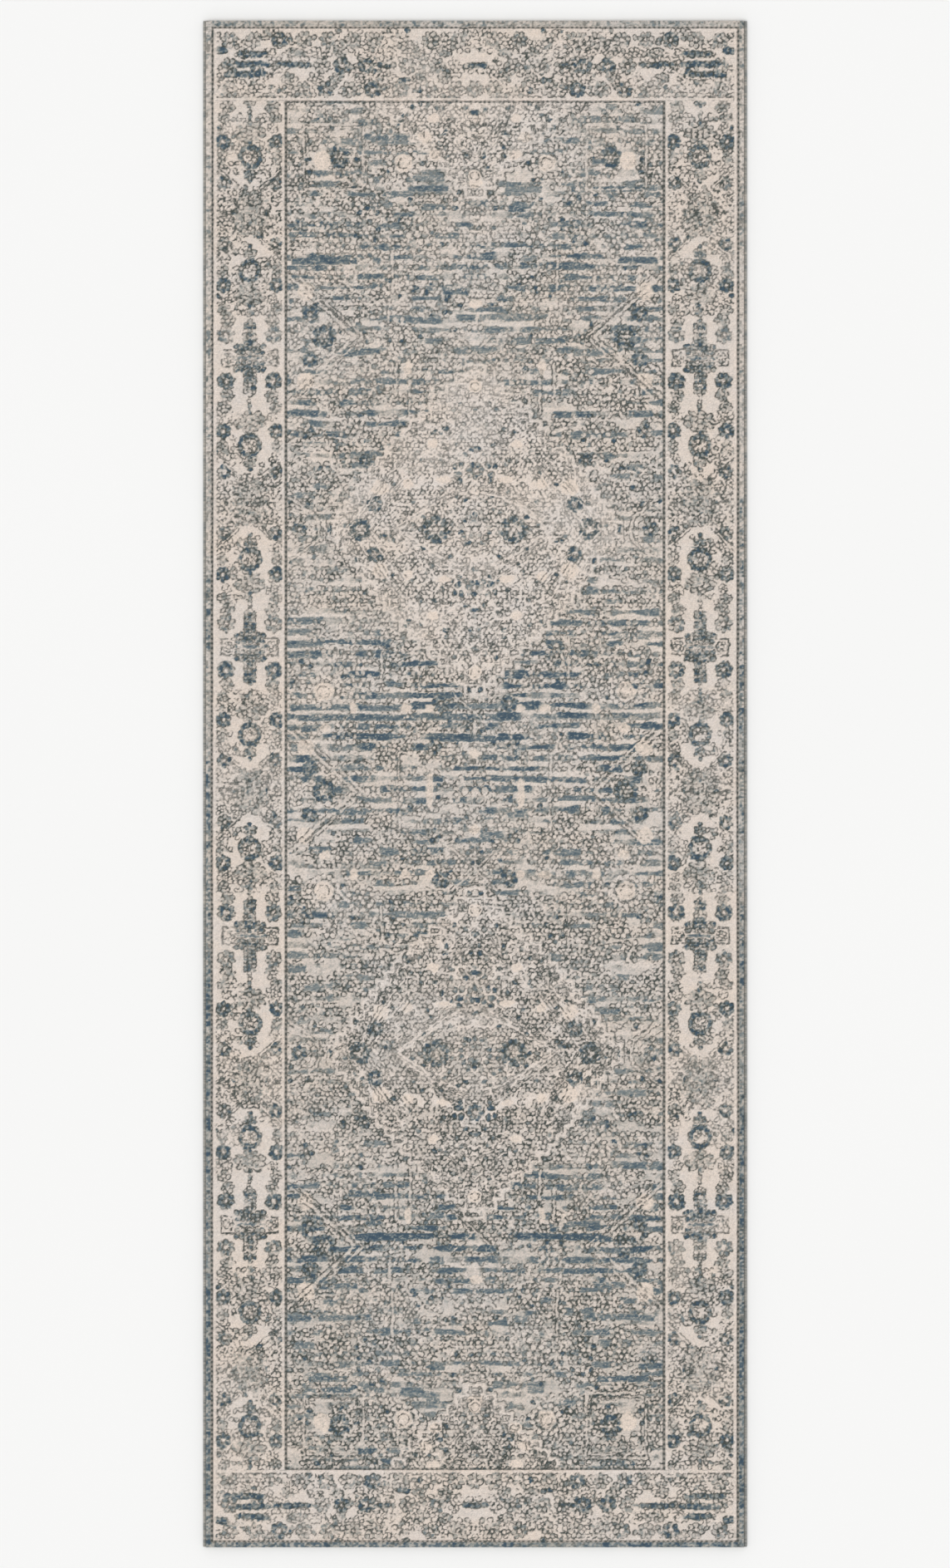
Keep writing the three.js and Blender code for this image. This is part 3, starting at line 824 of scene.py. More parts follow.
# ------------------------------------------------------------------ meshes
def new_object(name, vertices, polygons, uv=None, shades=None):
    """A mesh from vertices in millimetres and arrays of polygons, each with its own count of corners."""
    mesh = bpy.data.meshes.new(name)
    sizes = np.concatenate([np.full(len(p), len(p[0])) for p in polygons])
    corners = np.concatenate([np.asarray(p).ravel() for p in polygons]).astype(np.int32)
    starts = np.concatenate([[0], np.cumsum(sizes)[:-1]]).astype(np.int32)
    mesh.vertices.add(len(vertices))
    mesh.vertices.foreach_set("co", (np.asarray(vertices, np.float64) * MM).astype(np.float32).ravel())
    mesh.loops.add(len(corners))
    mesh.polygons.add(len(sizes))
    mesh.polygons.foreach_set("loop_start", starts)
    mesh.polygons.foreach_set("vertices", corners)
    if uv is not None:
        layer = mesh.uv_layers.new(name="OFBake")
        layer.uv.foreach_set("vector", np.asarray(uv, np.float32).ravel())
    for label, values in (shades or {}).items():
        attribute = mesh.attributes.new(label, "FLOAT", "POINT")
        attribute.data.foreach_set("value", np.asarray(values, np.float32))
    mesh.update(calc_edges=True)
    mesh.validate()
    piece = bpy.data.objects.new(name, mesh)
    bpy.context.scene.collection.objects.link(piece)
    return piece


def grid_quads(index):
    """The faces between the points of a grid, from the points' numbers."""
    return np.stack([index[:-1, :-1], index[:-1, 1:], index[1:, 1:], index[1:, :-1]], -1).reshape(-1, 4)


def steps(low, high, pitch):
    """Even places from low to high, about the pitch apart."""
    return np.linspace(low, high, max(2, int(round((high - low) / pitch)) + 1))


def grid_lines(stops, pitch):
    """Grid lines at each stop, with even steps of about the pitch between them."""
    parts = [steps(a, b, pitch)[:-1] if b - a > pitch else np.array([a])
             for a, b in zip(stops[:-1], stops[1:])]
    return np.concatenate(parts + [np.array([stops[-1]])])


SIDE_LEVELS = (1.0, 0.68, 0.36, 0.0)  # heights of the pile's cut side, as shares
BOTTOM_STRIP = 0.95  # the share of the bake's map left of the underside's narrow strip
STRIP_GAP = 0.02  # between the two, in that map


class ZoneMap:
    """A flat layout of a zone's blocks, side by side, for the pile's UV map."""

    def __init__(self, blocks, margin=7.5):
        """Takes blocks (x low, x high, y low, y high). One that is wider than long is laid turned."""
        self.blocks = []
        self.long = 0
        at = 0.0
        for x0, x1, y0, y1 in blocks:
            turned = x1 - x0 > y1 - y0
            wide, long = (y1 - y0, x1 - x0) if turned else (x1 - x0, y1 - y0)
            self.blocks.append((x0, x1, y0, y1, turned, at + margin, margin))
            at += wide + 2 * margin
            self.long = max(self.long, long + 2 * margin)
        self.wide = at

    def block_of(self, x, y):
        """The number of the block that each point lies in."""
        found = np.zeros(x.shape, int)
        for k, (x0, x1, y0, y1, *_rest) in enumerate(self.blocks):
            found[(x > x0) & (x < x1) & (y > y0) & (y < y1)] = k
        return found

    def place(self, block, x, y):
        """The map's place of points that belong to blocks, from 0 to 1."""
        u, v = np.zeros(x.shape), np.zeros(x.shape)
        for k, (x0, x1, y0, y1, turned, du, dv) in enumerate(self.blocks):
            here = block == k
            px, py = (y - y0, x - x0) if turned else (x - x0, y - y0)
            u[here] = (px[here] + du) / self.wide * (BOTTOM_STRIP - STRIP_GAP)
            v[here] = (py[here] + dv) / self.long
        return np.stack([u, v], -1)


def rim_edges(cells):
    """The rim's edges with the zone on their left: j and i of both ends and of the cell beside each."""
    padded = np.pad(cells, 1)
    above, below = padded[1:, 1:-1], padded[:-1, 1:-1]
    right, left = padded[1:-1, 1:], padded[1:-1, :-1]
    edges = []
    for has, (dj0, di0), (dj1, di1), (cj, ci) in (
        (above & ~below, (0, 0), (0, 1), (0, 0)), (below & ~above, (0, 1), (0, 0), (-1, 0)),
        (right & ~left, (1, 0), (0, 0), (0, 0)), (left & ~right, (0, 0), (1, 0), (0, -1)),
    ):
        ej, ei = np.nonzero(has)
        edges.append(np.stack([ej + dj0, ei + di0, ej + dj1, ei + di1, ej + cj, ei + ci], -1))
    return np.concatenate(edges).T


def floor_faces(cells, bottom):
    """The underside in rows that meet the rim's points, an array of faces for each count of corners."""
    by_size = {}
    for row in range(len(cells)):
        marks = np.flatnonzero(np.diff(np.concatenate([[0], cells[row].astype(np.int8), [0]])))
        for i0, i1 in zip(marks[::2], marks[1::2]):
            near_row, far_row = bottom[row, i0:i1 + 1], bottom[row + 1, i0:i1 + 1]
            face = np.concatenate([far_row[far_row >= 0], near_row[near_row >= 0][::-1]])
            by_size.setdefault(len(face), []).append(face)
    return [np.array(faces) for faces in by_size.values()]


def pile_zone(name, xs, ys, cells, top, base, shades, layout, tuft=0.0):
    """A closed body of pile over the grid's cells: its relief on top, cut sides, and a flat underside."""
    ny, nx = len(ys), len(xs)
    used = np.zeros((ny, nx), bool)
    for dj in (0, 1):
        for di in (0, 1):
            used[dj:ny - 1 + dj, di:nx - 1 + di] |= cells
    index = np.full((ny, nx), -1)
    index[used] = np.arange(used.sum())
    grid_x, grid_y = np.meshgrid(xs, ys)
    vertices = [np.stack([grid_x[used], grid_y[used], top[used]], -1)]
    shade = {label: [values[used]] for label, values in shades.items()}

    j, i = np.nonzero(cells)
    quads = np.stack([index[j, i], index[j, i + 1], index[j + 1, i + 1], index[j + 1, i]], -1)
    middle_x, middle_y = (xs[i] + xs[i + 1]) / 2, (ys[j] + ys[j + 1]) / 2
    block = layout.block_of(middle_x, middle_y)
    corner_x = np.stack([xs[i], xs[i + 1], xs[i + 1], xs[i]], -1)
    corner_y = np.stack([ys[j], ys[j], ys[j + 1], ys[j + 1]], -1)
    uv = [layout.place(np.repeat(block[:, None], 4, 1), corner_x, corner_y).reshape(-1, 2)]

    # the cut sides, in levels that bulge a little where the pile stands in tufts
    aj, ai, bj, bi, cj, ci = rim_edges(cells)
    out_x, out_y = ys[bj] - ys[aj], xs[ai] - xs[bi]
    length = np.hypot(out_x, out_y)
    out_x, out_y = out_x / length, out_y / length
    rim = np.zeros((ny, nx), bool)
    rim[aj, ai] = True
    order = np.full((ny, nx), -1)
    order[rim] = np.arange(rim.sum())
    lean = np.zeros((2, rim.sum()))
    for ej, ei in ((aj, ai), (bj, bi)):
        np.add.at(lean[0], order[ej, ei], out_x)
        np.add.at(lean[1], order[ej, ei], out_y)
    lean = np.sign(lean)
    rim_x, rim_y, rim_top = grid_x[rim], grid_y[rim], top[rim]
    tufts = np.random.default_rng(7).random(rim.sum())
    start = used.sum()
    levels = [index[rim]]
    for level, share in enumerate(SIDE_LEVELS[1:]):
        bulge = tuft * (0.35 + 0.65 * tufts) * (1 - abs(2 * share - 0.9)) if share else 0.0
        z = base + (rim_top - base) * share
        vertices.append(np.stack([rim_x + lean[0] * bulge, rim_y + lean[1] * bulge, z], -1))
        levels.append(start + level * rim.sum() + np.arange(rim.sum()))
        for label, values in shades.items():
            shade[label].append(values[rim])
    a, b = order[aj, ai], order[bj, bi]
    sides = [np.stack([upper[a], lower[a], lower[b], upper[b]], -1)
             for upper, lower in zip(levels, levels[1:])]
    side_block = layout.block_of((xs[ci] + xs[ci + 1]) / 2, (ys[cj] + ys[cj + 1]) / 2)
    height = top.max() - base
    for level, share in enumerate(SIDE_LEVELS[:-1]):
        d0, d1 = (1 - share) * height, (1 - SIDE_LEVELS[level + 1]) * height
        spread = ((ai, aj, d0), (ai, aj, d1), (bi, bj, d1), (bi, bj, d0))
        x4 = np.stack([xs[ei] + out_x * away for ei, _ej, away in spread], -1)
        y4 = np.stack([ys[ej] + out_y * away for _ei, ej, away in spread], -1)
        uv.append(layout.place(np.repeat(side_block[:, None], 4, 1), x4, y4).reshape(-1, 2))

    bottom = np.full((ny, nx), -1)
    bottom[rim] = levels[-1]
    polygons = [quads] + sides
    all_vertices = np.concatenate(vertices)
    for faces in floor_faces(cells, bottom):
        polygons.append(faces)
        spot = all_vertices[faces.ravel()]
        across = (spot[:, 0] - xs[0]) / (xs[-1] - xs[0])
        along = (spot[:, 1] - ys[0]) / (ys[-1] - ys[0])
        uv.append(np.stack([BOTTOM_STRIP + 0.045 * across, 0.01 + 0.98 * along], -1))
    shade = {label: np.concatenate(values) for label, values in shade.items()}
    return new_object(name, all_vertices, polygons, np.concatenate(uv), shade)


def slab(name, xs, ys, low, high):
    """A closed sheet over a grid, from its heights below and above."""
    ny, nx = len(ys), len(xs)
    grid_x, grid_y = np.meshgrid(xs, ys)
    count = nx * ny
    index = np.arange(count).reshape(ny, nx)
    vertices = np.concatenate([np.stack([grid_x, grid_y, z], -1).reshape(-1, 3) for z in (high, low)])
    top = grid_quads(index)
    under = top[:, ::-1] + count
    loop = np.concatenate([index[0, :-1], index[:-1, -1], index[-1, :0:-1], index[:0:-1, 0]])
    after = np.roll(loop, -1)
    sides = np.stack([loop, loop + count, after + count, after], -1)
    return new_object(name, vertices, [np.concatenate([top, under, sides])])


def tube(name, rings):
    """A closed tube through rings of points, all with the same count, with a cap at each end."""
    rings = np.asarray(rings)
    count, around = rings.shape[:2]
    index = np.arange(count * around).reshape(count, around)
    nxt = np.roll(index, -1, axis=1)
    quads = np.stack([index[:-1], nxt[:-1], nxt[1:], index[1:]], -1).reshape(-1, 4)
    caps = [index[0][::-1][None], index[-1][None]]
    return new_object(name, rings.reshape(-1, 3), [quads] + caps)


def stitches(name, runs, thread):
    """Separate stitches, each a short thread from one point to another that bends up into the cloth."""
    along = np.array([0.0, 0.08, 0.3, 0.5, 0.7, 0.92, 1.0])
    depth = np.array([1.0, 0.35, 0.0, 0.0, 0.0, 0.35, 1.0])
    around = np.linspace(0, 2 * np.pi, 8, endpoint=False)
    vertices, quads, caps = [], [], []
    for (x0, y0), (x1, y1), z, rise in runs:
        start = len(vertices) * len(along) * len(around)
        way = np.array([x1 - x0, y1 - y0])
        way = way / np.hypot(*way)
        centre = np.stack([x0 + (x1 - x0) * along, y0 + (y1 - y0) * along, z + rise * depth], -1)
        radius = thread / 2 * np.where(depth > 0.9, 0.7, 1.0)
        ring = centre[:, None, :] + radius[:, None, None] * np.stack(
            [-way[1] * np.cos(around), way[0] * np.cos(around), np.sin(around)], -1)
        vertices.append(ring.reshape(-1, 3))
        index = start + np.arange(ring.shape[0] * ring.shape[1]).reshape(ring.shape[:2])
        nxt = np.roll(index, -1, axis=1)
        quads.append(np.stack([index[:-1], index[1:], nxt[1:], nxt[:-1]], -1).reshape(-1, 4))
        caps += [index[0], index[-1][::-1]]
    return new_object(name, np.concatenate(vertices), [np.concatenate(quads), np.array(caps)])


# ------------------------------------------------------------------ materials
def linear(red, green, blue):
    """A display colour, 0 to 255, as the shader's linear one."""
    value = np.array([red, green, blue]) / 255
    value = np.where(value <= 0.04045, value / 12.92, ((value + 0.055) / 1.055) ** 2.4)
    return (*value, 1.0)


class Shader:
    """A material's node tree, built a node at a time."""

    def __init__(self, name, roughness=0.9, sheen=0.1):
        self.material = bpy.data.materials.new(name)
        self.material.use_nodes = True
        self.tree = self.material.node_tree
        self.shader = self.tree.nodes["Principled BSDF"]
        for key, value in (("Roughness", roughness), ("Specular IOR Level", 0.25), ("Sheen Weight", sheen),
                           ("Sheen Roughness", 0.55)):
            self.shader.inputs[key].default_value = value
        self.place = self.add("ShaderNodeTexCoord").outputs["Object"]

    def add(self, kind, settings=None, **inputs):
        """A node with its settings and its inputs by name, with _ for a space, or by number, as in _0."""
        node = self.tree.nodes.new(kind)
        for key, value in (settings or {}).items():
            setattr(node, key, value)
        for key, value in inputs.items():
            self.set(node.inputs[int(key[1:]) if key[0] == "_" else key.replace("_", " ")], value)
        return node

    def set(self, socket, value):
        """Gives an input a number, or the output that it follows."""
        if hasattr(value, "node"):
            self.tree.links.new(value, socket)
        else:
            socket.default_value = value

    def scaled(self, x, y, z, turn=0.0):
        """The rug's own coordinates, repeated every x, y and z millimetres."""
        return self.add("ShaderNodeMapping", Vector=self.place, Rotation=(0, 0, turn),
                        Scale=(1000 / x, 1000 / y, 1000 / z)).outputs[0]

    def noise(self, x, y, z, detail=2.0, roughness=0.5):
        node = self.add("ShaderNodeTexNoise", Vector=self.scaled(x, y, z), Scale=1.0, Detail=detail,
                        Roughness=roughness)
        return node.outputs[0]

    def math(self, operation, a, b=0.0, c=0.0, clamp=False):
        node = self.add("ShaderNodeMath", {"operation": operation, "use_clamp": clamp}, _0=a, _1=b, _2=c)
        return node.outputs[0]

    def range(self, value, low, high, to_low=0.0, to_high=1.0):
        node = self.add("ShaderNodeMapRange", Value=value)
        for key, number in (("From Min", low), ("From Max", high), ("To Min", to_low), ("To Max", to_high)):
            node.inputs[key].default_value = number
        return node.outputs[0]

    def weigh(self, a, a_share, b, b_share):
        """The sum of two values, each times its share."""
        return self.math("ADD", self.math("MULTIPLY", a, a_share), self.math("MULTIPLY", b, b_share))

    def bands(self, direction, x, y, z, distortion, detail=2.0):
        """Waves that rise and fall along that axis, pi / 10 of its scale in millimetres long."""
        return self.add("ShaderNodeTexWave", {"wave_type": "BANDS", "bands_direction": direction},
                        Vector=self.scaled(x, y, z), Scale=1.0, Distortion=distortion,
                        Detail=detail).outputs["Fac"]

    def ramp(self, value, stops):
        """A value as a colour, between stops of a value and a display colour."""
        low, high = stops[0][0], stops[-1][0]
        node = self.add("ShaderNodeValToRGB", _0=self.range(value, low, high))
        elements = node.color_ramp.elements
        while len(elements) < len(stops):
            elements.new(0.5)
        for element, (at, _colour) in zip(elements, stops):
            element.position = (at - low) / (high - low)
        for element, (_at, colour) in zip(elements, stops):
            element.color = linear(*colour)
        return node.outputs[0]

    def mix(self, factor, a, b, blend="MIX"):
        node = self.add("ShaderNodeMix", {"data_type": "RGBA", "blend_type": blend})
        self.set(node.inputs[0], factor)
        self.set(node.inputs[6], a)
        self.set(node.inputs[7], b)
        return node.outputs[2]

    def attribute(self, name):
        return self.add("ShaderNodeAttribute", {"attribute_name": name}).outputs["Fac"]

    def finish(self, colour, roughness, height, depth):
        """Joins colour, roughness from nodes, and a bump that is that many millimetres deep."""
        self.set(self.shader.inputs["Base Color"], colour)
        self.set(self.shader.inputs["Roughness"], roughness)
        bump = self.add("ShaderNodeBump", Strength=1.0, Distance=depth * MM, Height=height)
        self.set(self.shader.inputs["Normal"], bump.outputs[0])
        return self.material


YARNS = [  # the pile's dyes, from the palest cream to the deepest blue, as seen
    (-0.1, (244, 234, 225)), (0.0, (234, 222, 212)), (0.18, (208, 199, 190)), (0.35, (177, 174, 167)),
    (0.55, (140, 146, 145)), (0.78, (107, 120, 125)), (1.0, (80, 98, 110)), (1.2, (64, 85, 101)),
]
OUTLINE_YARN = (74, 81, 77)


def pile_yarn(name, tuft_x=1.25, tuft_y=1.5):
    """Cut pile: dyed yarn in tufts, rows along the weft, darker sunk outlines and painted shade between
    tufts.
    """
    s = Shader(name, sheen=0.18)
    tufts = s.add("ShaderNodeTexVoronoi", Vector=s.scaled(tuft_x, tuft_y, 40), Scale=1.0, Randomness=0.75)
    gap = s.range(tufts.outputs["Distance"], 0.25, 0.75)
    each = s.add("ShaderNodeSeparateColor", _0=tufts.outputs["Color"]).outputs[0]
    fibres = s.noise(0.35, 0.35, 1.2, 3.0, 0.6)
    patches = s.noise(6, 4, 20, 2.0)
    rows = s.bands("Y", 200, 9.5, 200, 1.2, 1.0)

    dye = s.math("ADD", s.attribute("dye"), s.range(each, 0, 1, -0.06, 0.06))
    colour = s.ramp(dye, YARNS)
    tint = s.mix(s.attribute("warm"), (0.965, 1.0, 1.045, 1), (1.045, 1.0, 0.955, 1))
    colour = s.mix(1.0, colour, tint, "MULTIPLY")
    colour = s.mix(s.attribute("line"), colour, linear(*OUTLINE_YARN))
    # painted shade: gap darkens the yarn between tufts and rows along the weft's dips, where the bump
    # sinks; the other factors are random tone
    light = s.range(each, 0, 1, 0.90, 1.10)
    for value, *limits in (
        (gap, 0, 1, 1.04, 0.90), (fibres, 0.25, 0.75, 0.93, 1.07), (rows, 0, 1, 0.975, 1.025),
        (patches, 0.3, 0.7, 0.975, 1.025), (s.noise(2.8, 1.9, 30, 1.0), 0.25, 0.75, 0.93, 1.07),
    ):
        light = s.math("MULTIPLY", light, s.range(value, *limits))
    shade = s.add("ShaderNodeCombineColor", _0=light, _1=light, _2=light).outputs[0]
    colour = s.mix(1.0, colour, shade, "MULTIPLY")
    height = s.math("ADD", s.weigh(gap, -0.7, fibres, 0.5), s.math("MULTIPLY", rows, 0.25))
    return s.finish(colour, s.range(fibres, 0.3, 0.7, 0.84, 0.98), height, 0.5)


def wound_yarn(name):
    """Yarn wound side by side round the edge, a few tones of grey and cream."""
    s = Shader(name, sheen=0.0)
    strand = s.noise(300, 2.4, 300, 1.0)
    fibres = s.noise(0.5, 0.16, 0.5, 3.0, 0.6)
    wear = s.noise(200, 26, 200, 2.0)
    colour = s.ramp(s.weigh(strand, 0.6, wear, 0.4),
                    [(0.32, (120, 128, 130)), (0.5, (164, 163, 157)), (0.68, (206, 198, 188))])
    shade = s.ramp(fibres, [(0.25, (214, 214, 214)), (0.75, (255, 255, 255))])
    colour = s.mix(1.0, colour, shade, "MULTIPLY")
    return s.finish(colour, s.range(fibres, 0.3, 0.7, 0.74, 0.92), fibres, 0.22)


def twisted_cord(name):
    """Pale cotton cord."""
    s = Shader(name)
    fibres = s.noise(0.5, 1.6, 0.5, 3.0, 0.6)
    colour = s.ramp(fibres, [(0.25, (176, 164, 138)), (0.75, (220, 209, 184))])
    return s.finish(colour, s.range(fibres, 0.3, 0.7, 0.75, 0.92), fibres, 0.15)


def jute_weave(name):
    """The coarse plain weave of the back, jute brown with the warps' lighter cotton showing between."""
    s = Shader(name)
    two_threads = WEAVE * 20 / 3.1416  # the scale at which a wave is two threads long
    weft = s.bands("Y", 800, two_threads, 800, 0.6, 1.0)
    warp = s.bands("X", two_threads, 800, 800, 0.6, 1.0)
    hairs = s.noise(5, 0.35, 1, 3.0, 0.6)
    slubs = s.noise(30, 2.2, 30, 2.0)
    tone = s.weigh(slubs, 0.55, hairs, 0.45)
    colour = s.ramp(tone, [(0.32, (134, 112, 80)), (0.5, (166, 144, 108)), (0.68, (190, 170, 132))])
    colour = s.mix(s.range(warp, 0.75, 1.0, 0.0, 0.35), colour, linear(206, 194, 168))
    # painted shade: the weft's waves darken the colour where the threads dip, as the bump does
    colour = s.mix(1.0, colour, s.ramp(weft, [(0.0, (190, 190, 190)), (0.6, (255, 255, 255))]), "MULTIPLY")
    height = s.weigh(weft, 0.6, hairs, 0.5)
    return s.finish(colour, s.range(hairs, 0.3, 0.7, 0.82, 0.96), height, 0.35)


def herringbone(name):
    """Cotton tape with a herringbone weave."""
    s = Shader(name)
    apart = s.add("ShaderNodeSeparateXYZ", _0=s.place)
    zig = s.math("PINGPONG", s.math("MULTIPLY", apart.outputs[0], 1000), 3.2)
    slope = s.math("ADD", s.math("MULTIPLY", apart.outputs[1], 1000), zig)
    twill = s.math("PINGPONG", slope, 0.55)
    fibres = s.noise(0.3, 0.3, 0.5, 2.0)
    # painted light and shade: the colour is paler where the twill's ribs stand high and darker where they
    # sink, with random tone from the fibres
    colour = s.ramp(s.weigh(twill, 0.7, fibres, 0.6),
                    [(0.2, (172, 160, 134)), (0.8, (214, 203, 178))])
    height = s.math("ADD", s.math("MULTIPLY", twill, 1.4), fibres)
    return s.finish(colour, s.range(fibres, 0.3, 0.7, 0.8, 0.93), height, 0.12)


def sewing_thread(name):
    """Pale thread with its ply."""
    s = Shader(name, roughness=0.6)
    ply = s.bands("DIAGONAL", 3.2, 3.2, 3.2, 0.4)
    fibres = s.noise(0.2, 0.2, 0.2, 2.0)
    # painted shade: the ply darkens the colour where its twist sinks, as the bump does, with random tone
    # from the fibres
    colour = s.ramp(s.weigh(ply, 0.5, fibres, 0.5),
                    [(0.1, (190, 182, 162)), (0.8, (236, 230, 214))])
    return s.finish(colour, s.range(fibres, 0.3, 0.7, 0.55, 0.75), ply, 0.06)


def satin_label(name):
    """White satin with long floats and a faint crease painted in as shade."""
    s = Shader(name, roughness=0.5)
    floats = s.noise(2.6, 0.18, 1, 2.0)
    crease = s.noise(18, 9, 10, 2.0)
    # painted shade of a crease: the crease noise darkens and lightens the colour only, with no bump
    colour = s.ramp(s.weigh(floats, 0.6, crease, 0.4),
                    [(0.3, (218, 214, 203)), (0.7, (240, 237, 229))])
    return s.finish(colour, s.range(floats, 0.3, 0.7, 0.42, 0.62), floats, 0.06)


def studio_floor(name):
    """The white floor."""
    s = Shader(name, roughness=0.9, sheen=0.0)
    cloud = s.noise(900, 900, 900, 2.0)
    colour = s.ramp(cloud, [(0.3, (246, 246, 245)), (0.7, (247, 247, 246))])
    grain = s.noise(3, 3, 3, 2.0)
    return s.finish(colour, s.range(grain, 0.3, 0.7, 0.88, 0.92), grain, 0.02)


# ------------------------------------------------------------------ the pieces
MAKERS = {
    "overcast_yarn": wound_yarn, "edge_cord": twisted_cord, "tape": herringbone, "thread": sewing_thread,
    "label": satin_label,
}
MADE = {}


def cloth_of(slot):
    """The slot's material, made when a piece first needs it."""
    if slot not in MADE:
        MADE[slot] = MAKERS[slot](slot)
    return MADE[slot]


def finish_piece(piece, material, node):
    """Gives a piece its material, hangs it from the root body and hides the CAD node it stands in for."""
    piece.data.materials.append(material)
    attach(piece, "root")
    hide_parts(node)
    return piece


MESH_PITCH = 1.22  # of the pile's grid
SUNK = 1.5  # how deep the outlines lie in the pile
ROLL = 4.0  # width of the pile's rounded outer edge


def make_pile():
    """The three zones of pile, from one grid, so that the design runs across them unbroken."""
    x_stops = [guard_low[0], border_low[0] - GAP, border_low[0], field_low[0] - GAP, field_low[0]]
    x_stops += [-x for x in x_stops[::-1]]
    y_stops = [guard_low[1], border_low[1] - GAP, border_low[1], field_low[1] - GAP, field_low[1],
               field_high[1], field_high[1] + GAP, border_high[1], border_high[1] + GAP, guard_high[1]]
    xs, ys = grid_lines(x_stops, MESH_PITCH), grid_lines(y_stops, MESH_PITCH)
    dye, line, warm = rug_maps(draw(), xs, ys)

    base, full = guard_low[2], guard_high[2]
    x, y = np.meshgrid(xs, ys)
    grain = np.random.default_rng(71).random(x.shape) - 0.5
    lie = value_noise(x, y, 120, 90, 72) - 0.5
    rows = np.sin(y * 2 * np.pi / 3.0)
    top = full - 0.25 + 0.30 * grain + 0.25 * lie + 0.06 * rows - SUNK * line
    to_edge = np.minimum(guard_high[0] - np.abs(x), guard_high[1] - np.abs(y))
    top = top - 1.6 * (1 - np.clip(to_edge / ROLL, 0, 1)) ** 2

    middle_x, middle_y = np.meshgrid((xs[:-1] + xs[1:]) / 2, (ys[:-1] + ys[1:]) / 2)

    def within(low, high, grow=0.0):
        return ((middle_x > low[0] - grow) & (middle_x < high[0] + grow)
                & (middle_y > low[1] - grow) & (middle_y < high[1] + grow))

    in_field = within(field_low, field_high)
    in_border = within(border_low, border_high) & ~within(field_low, field_high, GAP)
    in_guard = within(guard_low, guard_high) & ~within(border_low, border_high, GAP)
    long = guard_high[1] + 1
    seam = ys[np.argmin(np.abs(ys))]

    def frame_map(outer, inner, bottom, top):
        """The map of a frame: its two sides, each in two halves, and its ends."""
        sides = [(x0, x1, y0, y1) for x0, x1 in ((-outer, -inner), (inner, outer))
                 for y0, y1 in ((-long, seam), (seam, long))]
        return ZoneMap(sides + [(-inner, inner, -long, bottom), (-inner, inner, top, long)])

    field_x, border_x = FIELD_HALF, BORDER_HALF
    field_map = ZoneMap([(-field_x, field_x, FIELD_BOTTOM, seam), (-field_x, field_x, seam, FIELD_TOP)])
    border_map = frame_map(border_x, field_x, FIELD_BOTTOM, FIELD_TOP)
    guard_map = frame_map(guard_high[0] + 1, border_x, BORDER_BOTTOM_AT, BORDER_TOP_AT)
    shades = {"dye": dye, "line": line, "warm": warm}
    for zone, cells, layout, tuft in (
        ("field", in_field, field_map, 0.0), ("border", in_border, border_map, 0.0),
        ("guard", in_guard, guard_map, 0.28),
    ):
        piece = pile_zone(zone + "_tufts", xs, ys, cells, top, base, shades, layout, tuft)
        finish_piece(piece, pile_yarn(zone + "_yarn"), zone + "_pile")


WEAVE = 3.6  # spacing of the ground weave's threads


def make_ground():
    """The ground weave: a thick cloth with a thinner margin, its threads in relief underneath."""
    low, high = node_box("ground_weave")
    tape_low, tape_high = node_box("end_tape_top")
    label_low, label_high = node_box("care_label")
    thick_x = tape_high[0] + GAP
    thick_y = tape_low[1] - GAP
    step = 0.02

    def stops(axis, thick):
        """The grid lines on both sides of each step in the cloth."""
        a, b = label_low[axis] - GAP, label_high[axis] + GAP
        return [low[axis], -thick - step, -thick, a - step, a, b, b + step, thick, thick + step, high[axis]]

    xs, ys = grid_lines(stops(0, thick_x), WEAVE), grid_lines(stops(1, thick_y), WEAVE)
    x, y = np.meshgrid(xs, ys)
    # grid lines that stand close together at a step belong to the same thread
    i, j = (np.cumsum(np.diff(lines, prepend=lines[0] - WEAVE) > 0.1) for lines in (xs, ys))
    i, j = np.meshgrid(i, j)
    slack = np.random.default_rng(73).random((j.max() + 1, i.max() + 1))[j, i]
    weave = 0.13 * (1 - 2 * ((i + j) % 2)) + 0.05 * (slack - 0.5)
    margin = (np.abs(x) > thick_x + step / 2) | (np.abs(y) > thick_y + step / 2)
    pocket = ((x > label_low[0] - GAP - step / 2) & (x < label_high[0] + GAP + step / 2)
              & (y > label_low[1] - GAP - step / 2) & (y < label_high[1] + GAP + step / 2))
    under = np.where(margin, tape_high[2] + GAP, np.where(pocket, label_high[2] + GAP, 0.0))
    under = under + 0.18 + weave
    flat_edge = (np.abs(x) > thick_x - 0.01) & (np.abs(x) < thick_x + 0.1)
    under = np.where(flat_edge, np.maximum(under, 0.02), under)
    piece = slab("ground_cloth", xs, ys, under, np.full(x.shape, high[2]) + 0.4 * weave - 0.05)
    return finish_piece(piece, jute_weave("ground_cloth"), "ground_weave")


WRAP = 2.7  # yarn wound round the edge: spacing of its turns
WRAP_RINGS = 3  # rings of points to each turn


